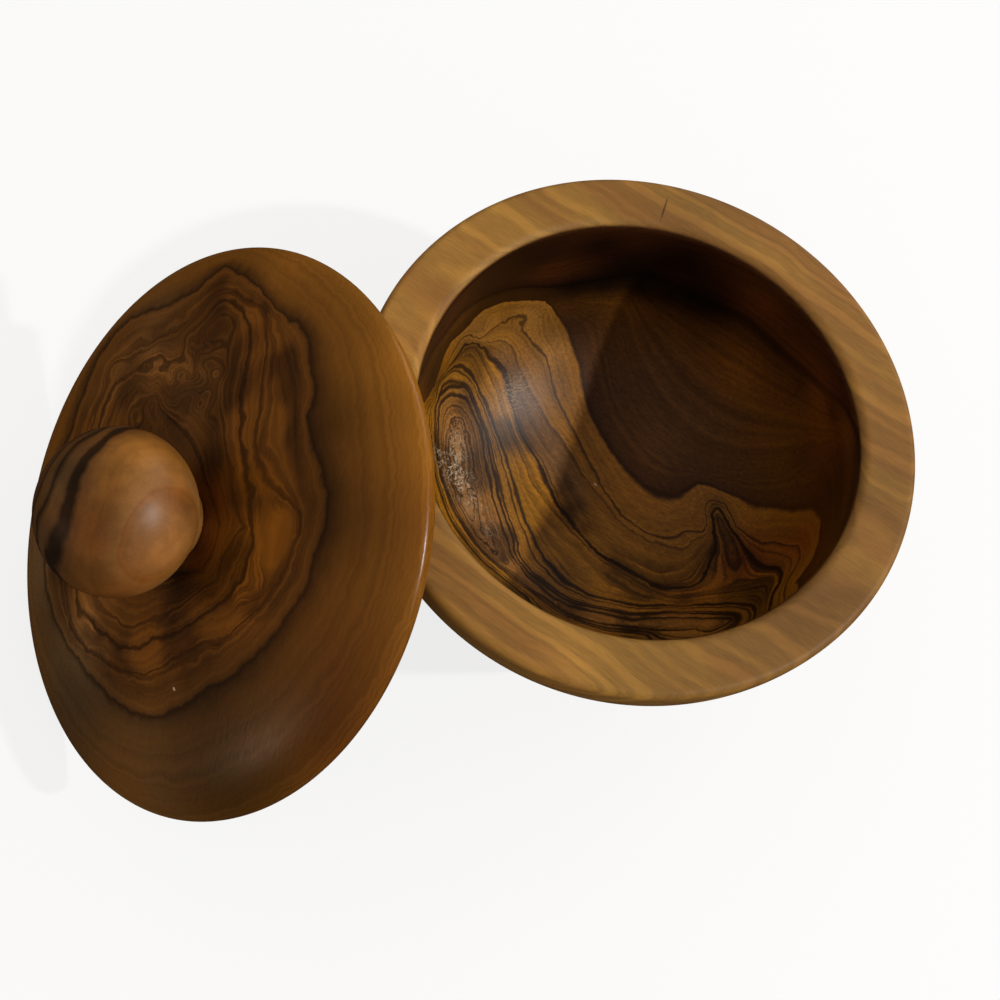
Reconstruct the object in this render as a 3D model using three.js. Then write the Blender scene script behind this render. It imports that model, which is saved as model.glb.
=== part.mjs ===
// Lidded salt jar turned from olive wood. Millimetres, +Z up.
// The origin is the centre of the jar's flat foot, on the surface that the jar stands on.
// The lid leans on the jar: its edge stands beside the jar and its plug rests on the rim.
// +X runs from the lid towards the jar, and the whole arrangement is symmetric about y = 0.
import * as THREE from 'three';
import { mergeVertices } from 'three/addons/utils/BufferGeometryUtils.js';

// Driving dimensions of the jar
const RIM_RADIUS = 50;
const JAR_HEIGHT = 54.4;
const MOUTH_RADIUS = 39.6;
const MOUTH_ROUNDING = 2;
const SHOULDER_ROUNDING = 1.4;
const SIDE_UPPER_RADIUS = 32;
const SIDE_UPPER_DEGREES = 19;
const SIDE_LOWER_RADIUS = 300;
const FOOT_ROUNDING = 10;

// Driving dimensions of the hollow
const HOLLOW_DEPTH = 45;
const HOLLOW_RADIUS = 40.6;
const HOLLOW_WIDEST_BELOW_RIM = 13;
const HOLLOW_FULLNESS = 2.3;

// Driving dimensions of the lid, measured above its underside
const LID_RADIUS = 50.4;
const LID_EDGE = 2.8;
const LID_DOME_HEIGHT = 9.6;
const DOME_FULLNESS = 2.1;
const PLUG_RADIUS = 38.8;
const PLUG_DEPTH = 3.7;
const PLUG_ROUNDING = 1;
const DISH_RADIUS = 29;
const DISH_DEPTH = 2;

// Driving dimensions of the knob and the socket that it is glued into
const KNOB_RADIUS = 14.2;
const KNOB_HALF_HEIGHT = 12.7;
const KNOB_CENTRE_HEIGHT = 22.5;
const KNOB_NECK_RADIUS = 6.8;
const KNOB_COLLAR_HEIGHT = 0.8;
const KNOB_FLARE = 1.4;
const TENON_RADIUS = 4;
const SOCKET_FLOOR_HEIGHT = 2.5;
const FIT_GAP = 0.3;

// How the lid leans
const LEAN_DEGREES = 45;

// Smoothness of the turned surfaces
const TURNS = 64;
const KNOB_TURNS = 40;

// Colours of the oiled wood, judged by eye
const JAR_COLOUR = 0x8a5c2a;
const LID_COLOUR = 0x6b4420;
const KNOB_COLOUR = 0x7a4c1e;

const radians = THREE.MathUtils.degToRad;

// Points of an arc from one angle to another, angles measured from +r towards +z.
function arc(centreR, centreZ, radiusR, radiusZ, fromDegrees, toDegrees, steps) {
  const points = [];
  for (let i = 0; i <= steps; i += 1) {
    const angle = radians(fromDegrees + ((toDegrees - fromDegrees) * i) / steps);
    const r = centreR + radiusR * Math.cos(angle);
    const z = centreZ + radiusZ * Math.sin(angle);
    points.push(new THREE.Vector2(r, z));
  }
  return points;
}

// A quarter of a superellipse: fullness 2 is an ellipse, and a higher value is squarer.
function fullCurve(radius, height, baseZ, fullness, fromDegrees, toDegrees, steps) {
  const points = [];
  for (let i = 0; i <= steps; i += 1) {
    const angle = radians(fromDegrees + ((toDegrees - fromDegrees) * i) / steps);
    const across = Math.max(Math.cos(angle), 0) ** (2 / fullness);
    const up = Math.sign(Math.sin(angle)) * Math.abs(Math.sin(angle)) ** (2 / fullness);
    points.push(new THREE.Vector2(radius * across, baseZ + height * up));
  }
  return points;
}

// Joins runs of points and drops a point that repeats the one before it.
function joinRuns(...runs) {
  const outline = [];
  for (const point of runs.flat()) {
    const last = outline[outline.length - 1];
    if (!last || last.distanceTo(point) > 0.02) {
      outline.push(point);
    }
  }
  return outline;
}

// Turns an outline of radius and height about the Z axis, as a lathe does.
// The outline runs from the axis at the bottom, up the outside, and back to the axis.
function turn(outline, turns) {
  const lathe = new THREE.LatheGeometry(outline, turns);
  lathe.deleteAttribute('normal');
  lathe.deleteAttribute('uv');
  const solid = mergeVertices(lathe, 0.001);
  const kept = [];
  const index = solid.getIndex().array;
  for (let i = 0; i < index.length; i += 3) {
    const [a, b, c] = [index[i], index[i + 1], index[i + 2]];
    if (a !== b && b !== c && c !== a) {
      kept.push(a, b, c);
    }
  }
  solid.setIndex(kept);
  solid.rotateX(Math.PI / 2);
  solid.computeVertexNormals();
  return solid;
}

function woodMesh(name, outline, turns, colour, roughness) {
  const material = new THREE.MeshStandardMaterial({ color: colour, roughness, metalness: 0 });
  const mesh = new THREE.Mesh(turn(outline, turns), material);
  mesh.name = name;
  return mesh;
}

// The jar: a bowl whose side swells from a flat foot to a flat ring that the lid closes on.
// Each arc of the side runs smoothly into the next, from the foot up to the shoulder.
function jarOutline() {
  const shoulderZ = JAR_HEIGHT - SHOULDER_ROUNDING;
  const upperCentreR = RIM_RADIUS - SIDE_UPPER_RADIUS;
  const upper = arc(upperCentreR, shoulderZ, SIDE_UPPER_RADIUS, SIDE_UPPER_RADIUS,
    -SIDE_UPPER_DEGREES, 0, 5);
  const meetR = upper[0].x;
  const meetZ = upper[0].y;
  const slope = radians(SIDE_UPPER_DEGREES);
  const lowerCentreR = meetR - SIDE_LOWER_RADIUS * Math.cos(slope);
  const lowerCentreZ = meetZ + SIDE_LOWER_RADIUS * Math.sin(slope);
  const centreDistance = SIDE_LOWER_RADIUS - FOOT_ROUNDING;
  const footSlope = Math.asin((lowerCentreZ - FOOT_ROUNDING) / centreDistance);
  const footDegrees = THREE.MathUtils.radToDeg(footSlope);
  const footRadius = lowerCentreR + centreDistance * Math.cos(footSlope);
  const foot = [new THREE.Vector2(0, 0)];
  const footCurve = arc(footRadius, FOOT_ROUNDING, FOOT_ROUNDING, FOOT_ROUNDING,
    -90, -footDegrees, 4);
  const lower = arc(lowerCentreR, lowerCentreZ, SIDE_LOWER_RADIUS, SIDE_LOWER_RADIUS,
    -footDegrees, -SIDE_UPPER_DEGREES, 5);
  const shoulder = arc(RIM_RADIUS - SHOULDER_ROUNDING, shoulderZ,
    SHOULDER_ROUNDING, SHOULDER_ROUNDING, 0, 90, 4);
  const mouth = arc(MOUTH_RADIUS + MOUTH_ROUNDING, JAR_HEIGHT - MOUTH_ROUNDING,
    MOUTH_ROUNDING, MOUTH_ROUNDING, 90, 180, 4);
  const hollowZ = JAR_HEIGHT - HOLLOW_WIDEST_BELOW_RIM;
  const hollowHeight = HOLLOW_DEPTH - HOLLOW_WIDEST_BELOW_RIM;
  const hollow = fullCurve(HOLLOW_RADIUS, hollowHeight, hollowZ, HOLLOW_FULLNESS, 0, -90, 11);
  hollow[hollow.length - 1].x = 0;
  return joinRuns(foot, footCurve, lower, upper, shoulder, mouth, hollow);
}

// The lid: a low dome with a rounded edge, a plug that drops into the mouth, and a
// blind socket in the crown. Heights are above the underside, which lies on z = 0.
function lidOutline() {
  const socketRadius = TENON_RADIUS + FIT_GAP;
  const dish = arc(0, -PLUG_DEPTH, DISH_RADIUS, DISH_DEPTH, 90, 0, 4);
  dish[0].x = 0;
  const plug = arc(PLUG_RADIUS - PLUG_ROUNDING, PLUG_ROUNDING - PLUG_DEPTH,
    PLUG_ROUNDING, PLUG_ROUNDING, -90, 0, 2);
  const underside = [new THREE.Vector2(PLUG_RADIUS, 0)];
  const edge = arc(LID_RADIUS - LID_EDGE, LID_EDGE, LID_EDGE, LID_EDGE, -90, 0, 4);
  const dome = fullCurve(LID_RADIUS, LID_DOME_HEIGHT - LID_EDGE, LID_EDGE,
    DOME_FULLNESS, 0, 84, 10);
  const socket = [
    new THREE.Vector2(socketRadius, LID_DOME_HEIGHT),
    new THREE.Vector2(socketRadius, SOCKET_FLOOR_HEIGHT),
    new THREE.Vector2(0, SOCKET_FLOOR_HEIGHT),
  ];
  return joinRuns(dish, plug, underside, edge, dome, socket);
}

// The knob: a flattened ball on a short neck, with the tenon that goes into the lid.
function knobOutline() {
  const tenonFloor = SOCKET_FLOOR_HEIGHT + FIT_GAP;
  const neckFoot = LID_DOME_HEIGHT + FIT_GAP;
  const ballStart = THREE.MathUtils.radToDeg(Math.acos((KNOB_NECK_RADIUS + KNOB_FLARE) / KNOB_RADIUS));
  const tenon = [
    new THREE.Vector2(0, tenonFloor),
    new THREE.Vector2(TENON_RADIUS, tenonFloor),
    new THREE.Vector2(TENON_RADIUS, neckFoot),
  ];
  const neck = [
    new THREE.Vector2(KNOB_NECK_RADIUS, neckFoot),
    new THREE.Vector2(KNOB_NECK_RADIUS, neckFoot + KNOB_COLLAR_HEIGHT),
  ];
  const ball = arc(0, KNOB_CENTRE_HEIGHT, KNOB_RADIUS, KNOB_HALF_HEIGHT, -ballStart, 90, 16);
  ball[ball.length - 1].x = 0;
  return joinRuns(tenon, neck, ball);
}

// Where the lid's underside centre lies when its edge stands on z = 0 and its plug
// leans on the rim's rounded shoulder.
function leaningPlace() {
  const lean = radians(LEAN_DEGREES);
  const lowest = (LID_RADIUS - LID_EDGE) * Math.sin(lean) - LID_EDGE * Math.cos(lean) + LID_EDGE;
  const shoulderR = RIM_RADIUS - SHOULDER_ROUNDING;
  const shoulderZ = JAR_HEIGHT - SHOULDER_ROUNDING;
  const shoulderAlongLid = shoulderR * Math.sin(lean) + shoulderZ * Math.cos(lean);
  const along = shoulderAlongLid + SHOULDER_ROUNDING + PLUG_DEPTH + FIT_GAP;
  const x = (lowest * Math.cos(lean) - along) / Math.sin(lean);
  return new THREE.Vector3(x, 0, lowest);
}

const jarBody = woodMesh('jar_body', jarOutline(), TURNS, JAR_COLOUR, 0.45);
const lid = woodMesh('lid', lidOutline(), TURNS, LID_COLOUR, 0.4);
const knob = woodMesh('knob', knobOutline(), KNOB_TURNS, KNOB_COLOUR, 0.35);

const leaningLid = new THREE.Group();
leaningLid.add(lid, knob);
leaningLid.rotation.y = -radians(LEAN_DEGREES);
leaningLid.position.copy(leaningPlace());

const saltJar = new THREE.Group();
saltJar.add(jarBody, leaningLid);

export default saltJar;
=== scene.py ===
# %% [markdown]
# A lidded salt jar turned from olive wood, open, with its lid leaning on the rim.
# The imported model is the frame: it says where each of the three wooden pieces is, and how big.
# Every piece below is turned again, much finer, in exactly that place.

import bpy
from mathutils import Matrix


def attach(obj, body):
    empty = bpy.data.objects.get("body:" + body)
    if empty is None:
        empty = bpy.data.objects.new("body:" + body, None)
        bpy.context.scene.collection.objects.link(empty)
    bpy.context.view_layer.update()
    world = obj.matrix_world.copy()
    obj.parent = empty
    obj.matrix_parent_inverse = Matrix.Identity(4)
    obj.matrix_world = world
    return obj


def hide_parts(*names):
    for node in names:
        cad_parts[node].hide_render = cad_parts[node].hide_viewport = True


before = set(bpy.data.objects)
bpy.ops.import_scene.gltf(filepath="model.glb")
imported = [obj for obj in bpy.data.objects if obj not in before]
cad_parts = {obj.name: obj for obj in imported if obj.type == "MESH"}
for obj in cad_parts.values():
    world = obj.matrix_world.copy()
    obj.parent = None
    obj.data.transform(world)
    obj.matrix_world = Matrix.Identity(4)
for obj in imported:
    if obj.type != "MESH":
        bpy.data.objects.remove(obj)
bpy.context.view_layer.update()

# %% [markdown]
# The rest of the script needs Blender's own module, numbers by the thousand from numpy, and a few
# names for angles. Every length below is written in millimetres, as on a workshop drawing, and
# multiplied by MM, because Blender works in metres.

# %% Modules and units
import math

import bmesh
import bpy
import numpy as np
from mathutils import Matrix, Vector
from mathutils.bvhtree import BVHTree

MM = 0.001
scene = bpy.context.scene

# %% [markdown]
# The photographer stood close and looked steeply down into the open jar, with the camera rolled to
# one side. A camera could be placed by eye, but the rim, the mouth, the lid and the knob are all
# round, and a circle seen at an angle tells where the eye was. So the camera stands on a line
# given by an azimuth and an elevation, at a real distance from the point in the picture's middle.

# %% Camera
PHOTO_PIXELS = 1000
CAMERA_AIM = Vector((-23.02, -1.72, 30.0)) * MM
CAMERA_DISTANCE = 259.8 * MM
CAMERA_AZIMUTH = math.radians(-31.6)
CAMERA_ELEVATION = math.radians(66.96)
CAMERA_ROLL = math.radians(19.93)
CAMERA_LENS = 49.92
CAMERA_SENSOR = 36.0
CAMERA_NEAREST = 10 * MM


def camera_axes():
    """Right, up and forward of the camera, as unit vectors of the frame."""
    level = math.cos(CAMERA_ELEVATION)
    forward = Vector((-math.sin(CAMERA_AZIMUTH) * level,
                      math.cos(CAMERA_AZIMUTH) * level,
                      -math.sin(CAMERA_ELEVATION)))
    level_right = forward.cross(Vector((0, 0, 1))).normalized()
    level_up = level_right.cross(forward)
    right = level_right * math.cos(CAMERA_ROLL) + level_up * math.sin(CAMERA_ROLL)
    return right, right.cross(forward), forward


def make_camera():
    right, up, forward = camera_axes()
    data = bpy.data.cameras.new("camera")
    data.lens = CAMERA_LENS
    data.sensor_fit = "HORIZONTAL"
    data.sensor_width = CAMERA_SENSOR
    data.clip_start = CAMERA_NEAREST
    camera = bpy.data.objects.new("camera", data)
    scene.collection.objects.link(camera)
    turned = Matrix((right, up, -forward)).transposed().to_4x4()
    camera.matrix_world = Matrix.Translation(CAMERA_AIM - forward * CAMERA_DISTANCE) @ turned
    scene.camera = camera
    return camera


camera = make_camera()
print("camera stands at", tuple(round(v / MM, 1) for v in camera.matrix_world.translation), "mm")

# %% [markdown]
# The lathe and the finishes below are made of nodes. They could be linked one by one, but that is
# tedious to write and to read. So a node's output is wrapped as a Field, which takes part in sums
# as a number does: each sign lays down a Math node and links it.

# %% Fields: outputs of nodes that can be reckoned with
class Field:
    """A node's output, which takes part in plain arithmetic."""

    def __init__(self, socket):
        self.socket = socket
        self.tree = socket.id_data

    def __add__(self, other):
        return maths("ADD", self, other)

    def __sub__(self, other):
        return maths("SUBTRACT", self, other)

    def __rsub__(self, other):
        return maths("SUBTRACT", other, self)

    def __mul__(self, other):
        return maths("MULTIPLY", self, other)

    def __truediv__(self, other):
        return maths("DIVIDE", self, other)


def place(tree, kind, given=None, **settings):
    """A new node of that kind; each input that is given gets a link from a field, or a value."""
    node = tree.nodes.new(kind)
    for name, value in settings.items():
        setattr(node, name, value)
    for name, value in (given or {}).items():
        if isinstance(value, Field):
            tree.links.new(value.socket, node.inputs[name])
        else:
            node.inputs[name].default_value = value
    return node


def field(tree, kind, given=None, output=0, **settings):
    """One output of such a node."""
    return Field(place(tree, kind, given, **settings).outputs[output])


def tree_of(*values):
    """The node tree that a field among the values is in."""
    return next(value.tree for value in values if isinstance(value, Field))


def maths(operation, *values):
    """A Math node on fields or numbers."""
    return field(tree_of(*values), "ShaderNodeMath", dict(enumerate(values)), operation=operation)


def parts(vector):
    """The three parts of a vector."""
    return [Field(part) for part in place(vector.tree, "ShaderNodeSeparateXYZ", {0: vector}).outputs]


print("between fields, each sign of + - * and / lays down one Math node")

# %% [markdown]
# All three pieces come off a lathe: an outline of radius and height is swept once round the axis.
# A screw modifier could do it, but a Geometry Nodes lathe says the rule more plainly and serves all
# three. It lays out a flat grid, reads a point of the outline for each column, swings it round by
# the row's angle, and welds the seam and the poles. Its named inputs are the outline, how many
# steps it takes round the axis, and the wood.

# %% The lathe, as a Geometry Nodes tree
STEPS_ROUND = 288
WELD_DISTANCE = 0.001 * MM
LATHE_INPUTS = {"Outline": "NodeSocketObject", "Outline points": "NodeSocketInt",
                "Steps round": "NodeSocketInt", "Wood": "NodeSocketMaterial"}


def lathe_tree():
    tree = bpy.data.node_groups.new("turn_on_the_lathe", "GeometryNodeTree")
    for name, kind in LATHE_INPUTS.items():
        tree.interface.new_socket(name=name, in_out="INPUT", socket_type=kind)
    tree.interface.new_socket(name="Turned", in_out="OUTPUT", socket_type="NodeSocketGeometry")
    given = {socket.name: Field(socket) for socket in place(tree, "NodeGroupInput").outputs}
    outline = field(tree, "GeometryNodeObjectInfo", {"Object": given["Outline"]}, "Geometry")
    grid = field(tree, "GeometryNodeMeshGrid", {
        "Size X": 1.0, "Size Y": 1.0, "Vertices X": given["Outline points"],
        "Vertices Y": given["Steps round"] + 1.0}, "Mesh")
    here = field(tree, "GeometryNodeInputPosition")
    across, along, _ = parts(here)
    column = maths("ROUND", (across + 0.5) * (given["Outline points"] - 1.0))
    drawn = field(tree, "GeometryNodeSampleIndex", {"Geometry": outline, "Value": here, "Index": column},
                  "Value", data_type="FLOAT_VECTOR", domain="POINT")
    radius, _, height = parts(drawn)
    angle = (along + 0.5) * math.tau
    swung = field(tree, "ShaderNodeCombineXYZ", {
        0: radius * maths("COSINE", angle), 1: radius * maths("SINE", angle), 2: height})
    turned = field(tree, "GeometryNodeSetPosition", {"Geometry": grid, "Position": swung})
    turned = field(tree, "GeometryNodeMergeByDistance", {"Geometry": turned, "Distance": WELD_DISTANCE})
    turned = field(tree, "GeometryNodeSetShadeSmooth", {"Geometry": turned})
    turned = field(tree, "GeometryNodeRealizeInstances", {"Geometry": turned})
    turned = field(tree, "GeometryNodeSetMaterial", {"Geometry": turned, "Material": given["Wood"]})
    place(tree, "NodeGroupOutput", {0: turned})
    return tree


lathe = lathe_tree()
print("the lathe has", len(lathe.nodes), "nodes and the inputs", list(LATHE_INPUTS))

# %% [markdown]
# An outline is a short list of straight runs and arcs, in radius and height. It could be drawn as
# a Bezier curve, but a turner thinks in radii, so each round stretch is an arc or a superellipse,
# the curve between an ellipse and a rectangle that a gouge leaves when it hollows a bowl. The
# points lie a little over half a millimetre apart, closer round a small edge.

# %% Outlines
POINT_SPACING = 0.6
CLOSEST_POINTS = 0.05
SMALLEST_RING = 0.3
FEWEST_STEPS = 4


def arc(centre, radii, start, end, points=None):
    """Points of an arc of an ellipse; the angles are in degrees, from outwards towards up."""
    if points is None:
        points = max(FEWEST_STEPS, round(max(radii) * math.radians(abs(end - start)) / POINT_SPACING))
    angles = np.radians(np.linspace(start, end, points + 1))
    return np.stack([centre[0] + radii[0] * np.cos(angles),
                     centre[1] + radii[1] * np.sin(angles)], -1)


def full_curve(radius, height, base, fullness, start, end, points):
    """Points of a superellipse: fullness 2 is an ellipse, and a higher value is squarer."""
    angles = np.radians(np.linspace(start, end, points + 1))
    across = np.clip(np.cos(angles), 0, 1) ** (2 / fullness)
    up = np.sign(np.sin(angles)) * np.abs(np.sin(angles)) ** (2 / fullness)
    return np.stack([radius * across, base + height * up], -1)


def run(*points):
    """A straight run through a few points, filled in at the usual spacing."""
    filled = [points[0]]
    for (r0, z0), (r1, z1) in zip(points, points[1:]):
        steps = max(1, round(math.hypot(r1 - r0, z1 - z0) / POINT_SPACING))
        for i in range(1, steps + 1):
            filled.append((r0 + (r1 - r0) * i / steps, z0 + (z1 - z0) * i / steps))
    return np.array(filled)


def join(*runs):
    """One outline from several runs, without doubled points, and with both ends on the axis."""
    points = np.concatenate(runs)
    keep = [0]
    for i in range(1, len(points) - 1):
        apart = np.linalg.norm(points[i] - points[keep[-1]])
        if apart > CLOSEST_POINTS and points[i, 0] > SMALLEST_RING:
            keep.append(i)
    keep.append(len(points) - 1)
    outline = points[keep]
    outline[0, 0] = outline[-1, 0] = 0.0
    return outline


print("a quarter of a circle of 50 mm has", len(arc((0, 0), (50.0, 50.0), 0, 90)), "points")

# %% [markdown]
# The jar is one block of wood: a bowl with a small flat foot, a side that swells up to a crisp
# shoulder, and a flat ring round the mouth that the lid closes on. The hollow is widest a little
# below the mouth. These sizes are the frame's own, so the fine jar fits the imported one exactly.

# %% The jar's outline
RIM_RADIUS = 50.0
JAR_HEIGHT = 54.4
MOUTH_RADIUS = 39.6
MOUTH_ROUNDING = 2.0
SHOULDER_ROUNDING = 1.4
SIDE_UPPER_RADIUS = 32.0
SIDE_UPPER_DEGREES = 19.0
SIDE_LOWER_RADIUS = 300.0
FOOT_ROUNDING = 10.0
HOLLOW_DEPTH = 45.0
HOLLOW_RADIUS = 40.6
HOLLOW_WIDEST_BELOW_RIM = 13.0
HOLLOW_FULLNESS = 2.3
HOLLOW_STEPS = 130
SHOULDER_STEPS = 12
MOUTH_STEPS = 10


def jar_outline():
    shoulder_z = JAR_HEIGHT - SHOULDER_ROUNDING
    upper = arc((RIM_RADIUS - SIDE_UPPER_RADIUS, shoulder_z), (SIDE_UPPER_RADIUS,) * 2,
                -SIDE_UPPER_DEGREES, 0)
    slope = math.radians(SIDE_UPPER_DEGREES)
    lower_centre = (upper[0, 0] - SIDE_LOWER_RADIUS * math.cos(slope),
                    upper[0, 1] + SIDE_LOWER_RADIUS * math.sin(slope))
    reach = SIDE_LOWER_RADIUS - FOOT_ROUNDING
    foot_slope = math.asin((lower_centre[1] - FOOT_ROUNDING) / reach)
    foot_radius = lower_centre[0] + reach * math.cos(foot_slope)
    foot = arc((foot_radius, FOOT_ROUNDING), (FOOT_ROUNDING,) * 2, -90, -math.degrees(foot_slope))
    lower = arc(lower_centre, (SIDE_LOWER_RADIUS,) * 2, -math.degrees(foot_slope), -SIDE_UPPER_DEGREES)
    shoulder = arc((RIM_RADIUS - SHOULDER_ROUNDING, shoulder_z), (SHOULDER_ROUNDING,) * 2,
                   0, 90, SHOULDER_STEPS)
    mouth = arc((MOUTH_RADIUS + MOUTH_ROUNDING, JAR_HEIGHT - MOUTH_ROUNDING), (MOUTH_ROUNDING,) * 2,
                90, 180, MOUTH_STEPS)
    widest_z = JAR_HEIGHT - HOLLOW_WIDEST_BELOW_RIM
    hollow = full_curve(HOLLOW_RADIUS, HOLLOW_DEPTH - HOLLOW_WIDEST_BELOW_RIM, widest_z,
                        HOLLOW_FULLNESS, 0, -90, HOLLOW_STEPS)
    return join(run((0, 0), tuple(foot[0])), foot, lower, upper, shoulder,
                run(tuple(shoulder[-1]), tuple(mouth[0])), mouth,
                run(tuple(mouth[-1]), tuple(hollow[0])), hollow)


print("jar outline:", len(jar_outline()), "points")

# %% [markdown]
# The lid is a disc with a low dome above and a plug below, which drops into the mouth. Under the
# plug is a shallow dish, so that it doesn't rock. In its crown is the blind socket that the knob's
# tenon is glued into. The knob is a flattened ball on a short neck. Both outlines stand on the
# lid's underside, and a small rounding softens each corner, as sandpaper does.

# %% The lid's and the knob's outlines
LID_RADIUS = 50.4
LID_EDGE = 2.8
LID_DOME_HEIGHT = 9.6
DOME_FULLNESS = 2.1
DOME_END_DEGREES = 84
DOME_STEPS = 110
EDGE_STEPS = 12
PLUG_RADIUS = 38.8
PLUG_DEPTH = 3.7
PLUG_ROUNDING = 1.0
PLUG_STEPS = 8
DISH_RADIUS = 29.0
DISH_DEPTH = 2.0
KNOB_RADIUS = 14.2
KNOB_HALF_HEIGHT = 12.7
KNOB_CENTRE_HEIGHT = 22.5
KNOB_NECK_RADIUS = 6.8
KNOB_COLLAR_HEIGHT = 0.8
KNOB_FLARE = 1.4
KNOB_STEPS = 90
TENON_RADIUS = 4.0
SOCKET_FLOOR_HEIGHT = 2.5
FIT_GAP = 0.3


def lid_outline():
    dish = arc((0, -PLUG_DEPTH), (DISH_RADIUS, DISH_DEPTH), 90, 0)
    plug = arc((PLUG_RADIUS - PLUG_ROUNDING, PLUG_ROUNDING - PLUG_DEPTH), (PLUG_ROUNDING,) * 2,
               -90, 0, PLUG_STEPS)
    edge = arc((LID_RADIUS - LID_EDGE, LID_EDGE), (LID_EDGE,) * 2, -90, 0, EDGE_STEPS)
    dome = full_curve(LID_RADIUS, LID_DOME_HEIGHT - LID_EDGE, LID_EDGE, DOME_FULLNESS,
                      0, DOME_END_DEGREES, DOME_STEPS)
    socket = TENON_RADIUS + FIT_GAP
    return join(dish, run(tuple(dish[-1]), tuple(plug[0])), plug,
                run(tuple(plug[-1]), (PLUG_RADIUS, 0), tuple(edge[0])), edge, dome,
                run((socket, LID_DOME_HEIGHT), (socket, SOCKET_FLOOR_HEIGHT), (0, SOCKET_FLOOR_HEIGHT)))


def knob_outline():
    floor = SOCKET_FLOOR_HEIGHT + FIT_GAP
    foot = LID_DOME_HEIGHT + FIT_GAP
    ball_start = math.degrees(math.acos((KNOB_NECK_RADIUS + KNOB_FLARE) / KNOB_RADIUS))
    ball = arc((0, KNOB_CENTRE_HEIGHT), (KNOB_RADIUS, KNOB_HALF_HEIGHT), -ball_start, 90, KNOB_STEPS)
    return join(run((0, floor), (TENON_RADIUS, floor), (TENON_RADIUS, foot), (KNOB_NECK_RADIUS, foot),
                    (KNOB_NECK_RADIUS, foot + KNOB_COLLAR_HEIGHT), tuple(ball[0])), ball)


print("lid outline:", len(lid_outline()), "points; knob outline:", len(knob_outline()), "points")

# %% [markdown]
# Now the pieces are turned. The lathe works on an empty object through a modifier; the result is
# taken off as a plain mesh, so the modifier is gone before the piece is placed. The coordinates
# that a piece had on the lathe stay with it as an attribute named "blank", because how deep a point
# lies below the lid's dome is easiest to tell there. Last, the lid and the knob lean on the jar.

# %% Turn the pieces and lean the lid
LEAN = math.radians(45)


def leaning():
    """Where the lid goes: its edge on the table, its plug against the rim's rounded shoulder."""
    side, up = math.sin(LEAN), math.cos(LEAN)
    centre_z = (LID_RADIUS - LID_EDGE) * side - LID_EDGE * up + LID_EDGE
    shoulder = (RIM_RADIUS - SHOULDER_ROUNDING) * side + (JAR_HEIGHT - SHOULDER_ROUNDING) * up
    along = shoulder + SHOULDER_ROUNDING + PLUG_DEPTH + FIT_GAP
    centre_x = (centre_z * up - along) / side
    return Matrix.Translation(Vector((centre_x, 0, centre_z)) * MM) @ Matrix.Rotation(-LEAN, 4, "Y")


def outline_object(name, outline):
    mesh = bpy.data.meshes.new(name)
    points = [(r * MM, 0, z * MM) for r, z in outline]
    mesh.from_pydata(points, [(i, i + 1) for i in range(len(points) - 1)], [])
    drawing = bpy.data.objects.new(name, mesh)
    scene.collection.objects.link(drawing)
    return drawing


def face_outwards(mesh):
    shaped = bmesh.new()
    shaped.from_mesh(mesh)
    bmesh.ops.recalc_face_normals(shaped, faces=shaped.faces)
    shaped.to_mesh(mesh)
    shaped.free()


def turn(name, outline, material, matrix=None):
    """Turns a piece of that wood on the lathe, and puts it in its place."""
    drawing = outline_object(name + "_outline", outline)
    work = bpy.data.objects.new(name + "_work", bpy.data.meshes.new(name + "_work"))
    scene.collection.objects.link(work)
    modifier = work.modifiers.new("lathe", "NODES")
    modifier.node_group = lathe
    settings = {"Outline": drawing, "Outline points": len(outline), "Steps round": STEPS_ROUND,
                "Wood": material}
    for item in lathe.interface.items_tree:
        if item.name in settings:
            modifier[item.identifier] = settings[item.name]
    bpy.context.view_layer.update()
    evaluated = work.evaluated_get(bpy.context.evaluated_depsgraph_get())
    mesh = bpy.data.meshes.new_from_object(evaluated)
    mesh.name = name
    for spare in (work, drawing):
        bpy.data.objects.remove(spare)
    face_outwards(mesh)
    on_lathe = np.empty(len(mesh.vertices) * 3, np.float32)
    mesh.vertices.foreach_get("co", on_lathe)
    mesh.attributes.new("blank", "FLOAT_VECTOR", "POINT").data.foreach_set("vector", on_lathe)
    if matrix:
        mesh.transform(matrix)
    piece = bpy.data.objects.new(name, mesh)
    scene.collection.objects.link(piece)
    print(name, "is turned:", len(mesh.vertices), "points,", len(mesh.polygons), "faces")
    return piece


jar_wood, lid_wood, knob_wood = (
    bpy.data.materials.new(name) for name in ("jar_wood", "lid_wood", "knob_wood"))
jar = turn("turned_jar", jar_outline(), jar_wood)
lid = turn("turned_lid", lid_outline(), lid_wood, leaning())
knob = turn("turned_knob", knob_outline(), knob_wood, leaning())

# %% [markdown]
# The wood's figure is what makes this jar. Olive grows in uneven, wandering layers, and every cut
# surface shows where the layers meet it. It could be faked with a wavy texture, but then the lines
# would be anybody's. So the figure here is a field of age through the block of wood: one number
# at each point, which grows from layer to layer. Each layer that shows in the photograph is
# followed as a line of pixels, laid on the turned surface along the camera's view, and given its
# age. The ages in between are filled in smoothly, by radial basis functions.

# %% Lay followed lines on a piece
PIXELS_PER_SENSOR = PHOTO_PIXELS * CAMERA_LENS / CAMERA_SENSOR
FOLLOW_STEP = 8.0
MIDDLE_OF_THE_HOLLOW = (640, 430)


def surface_of(piece):
    mesh = piece.data
    return BVHTree.FromPolygons([v.co for v in mesh.vertices], [tuple(p.vertices) for p in mesh.polygons])


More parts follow.
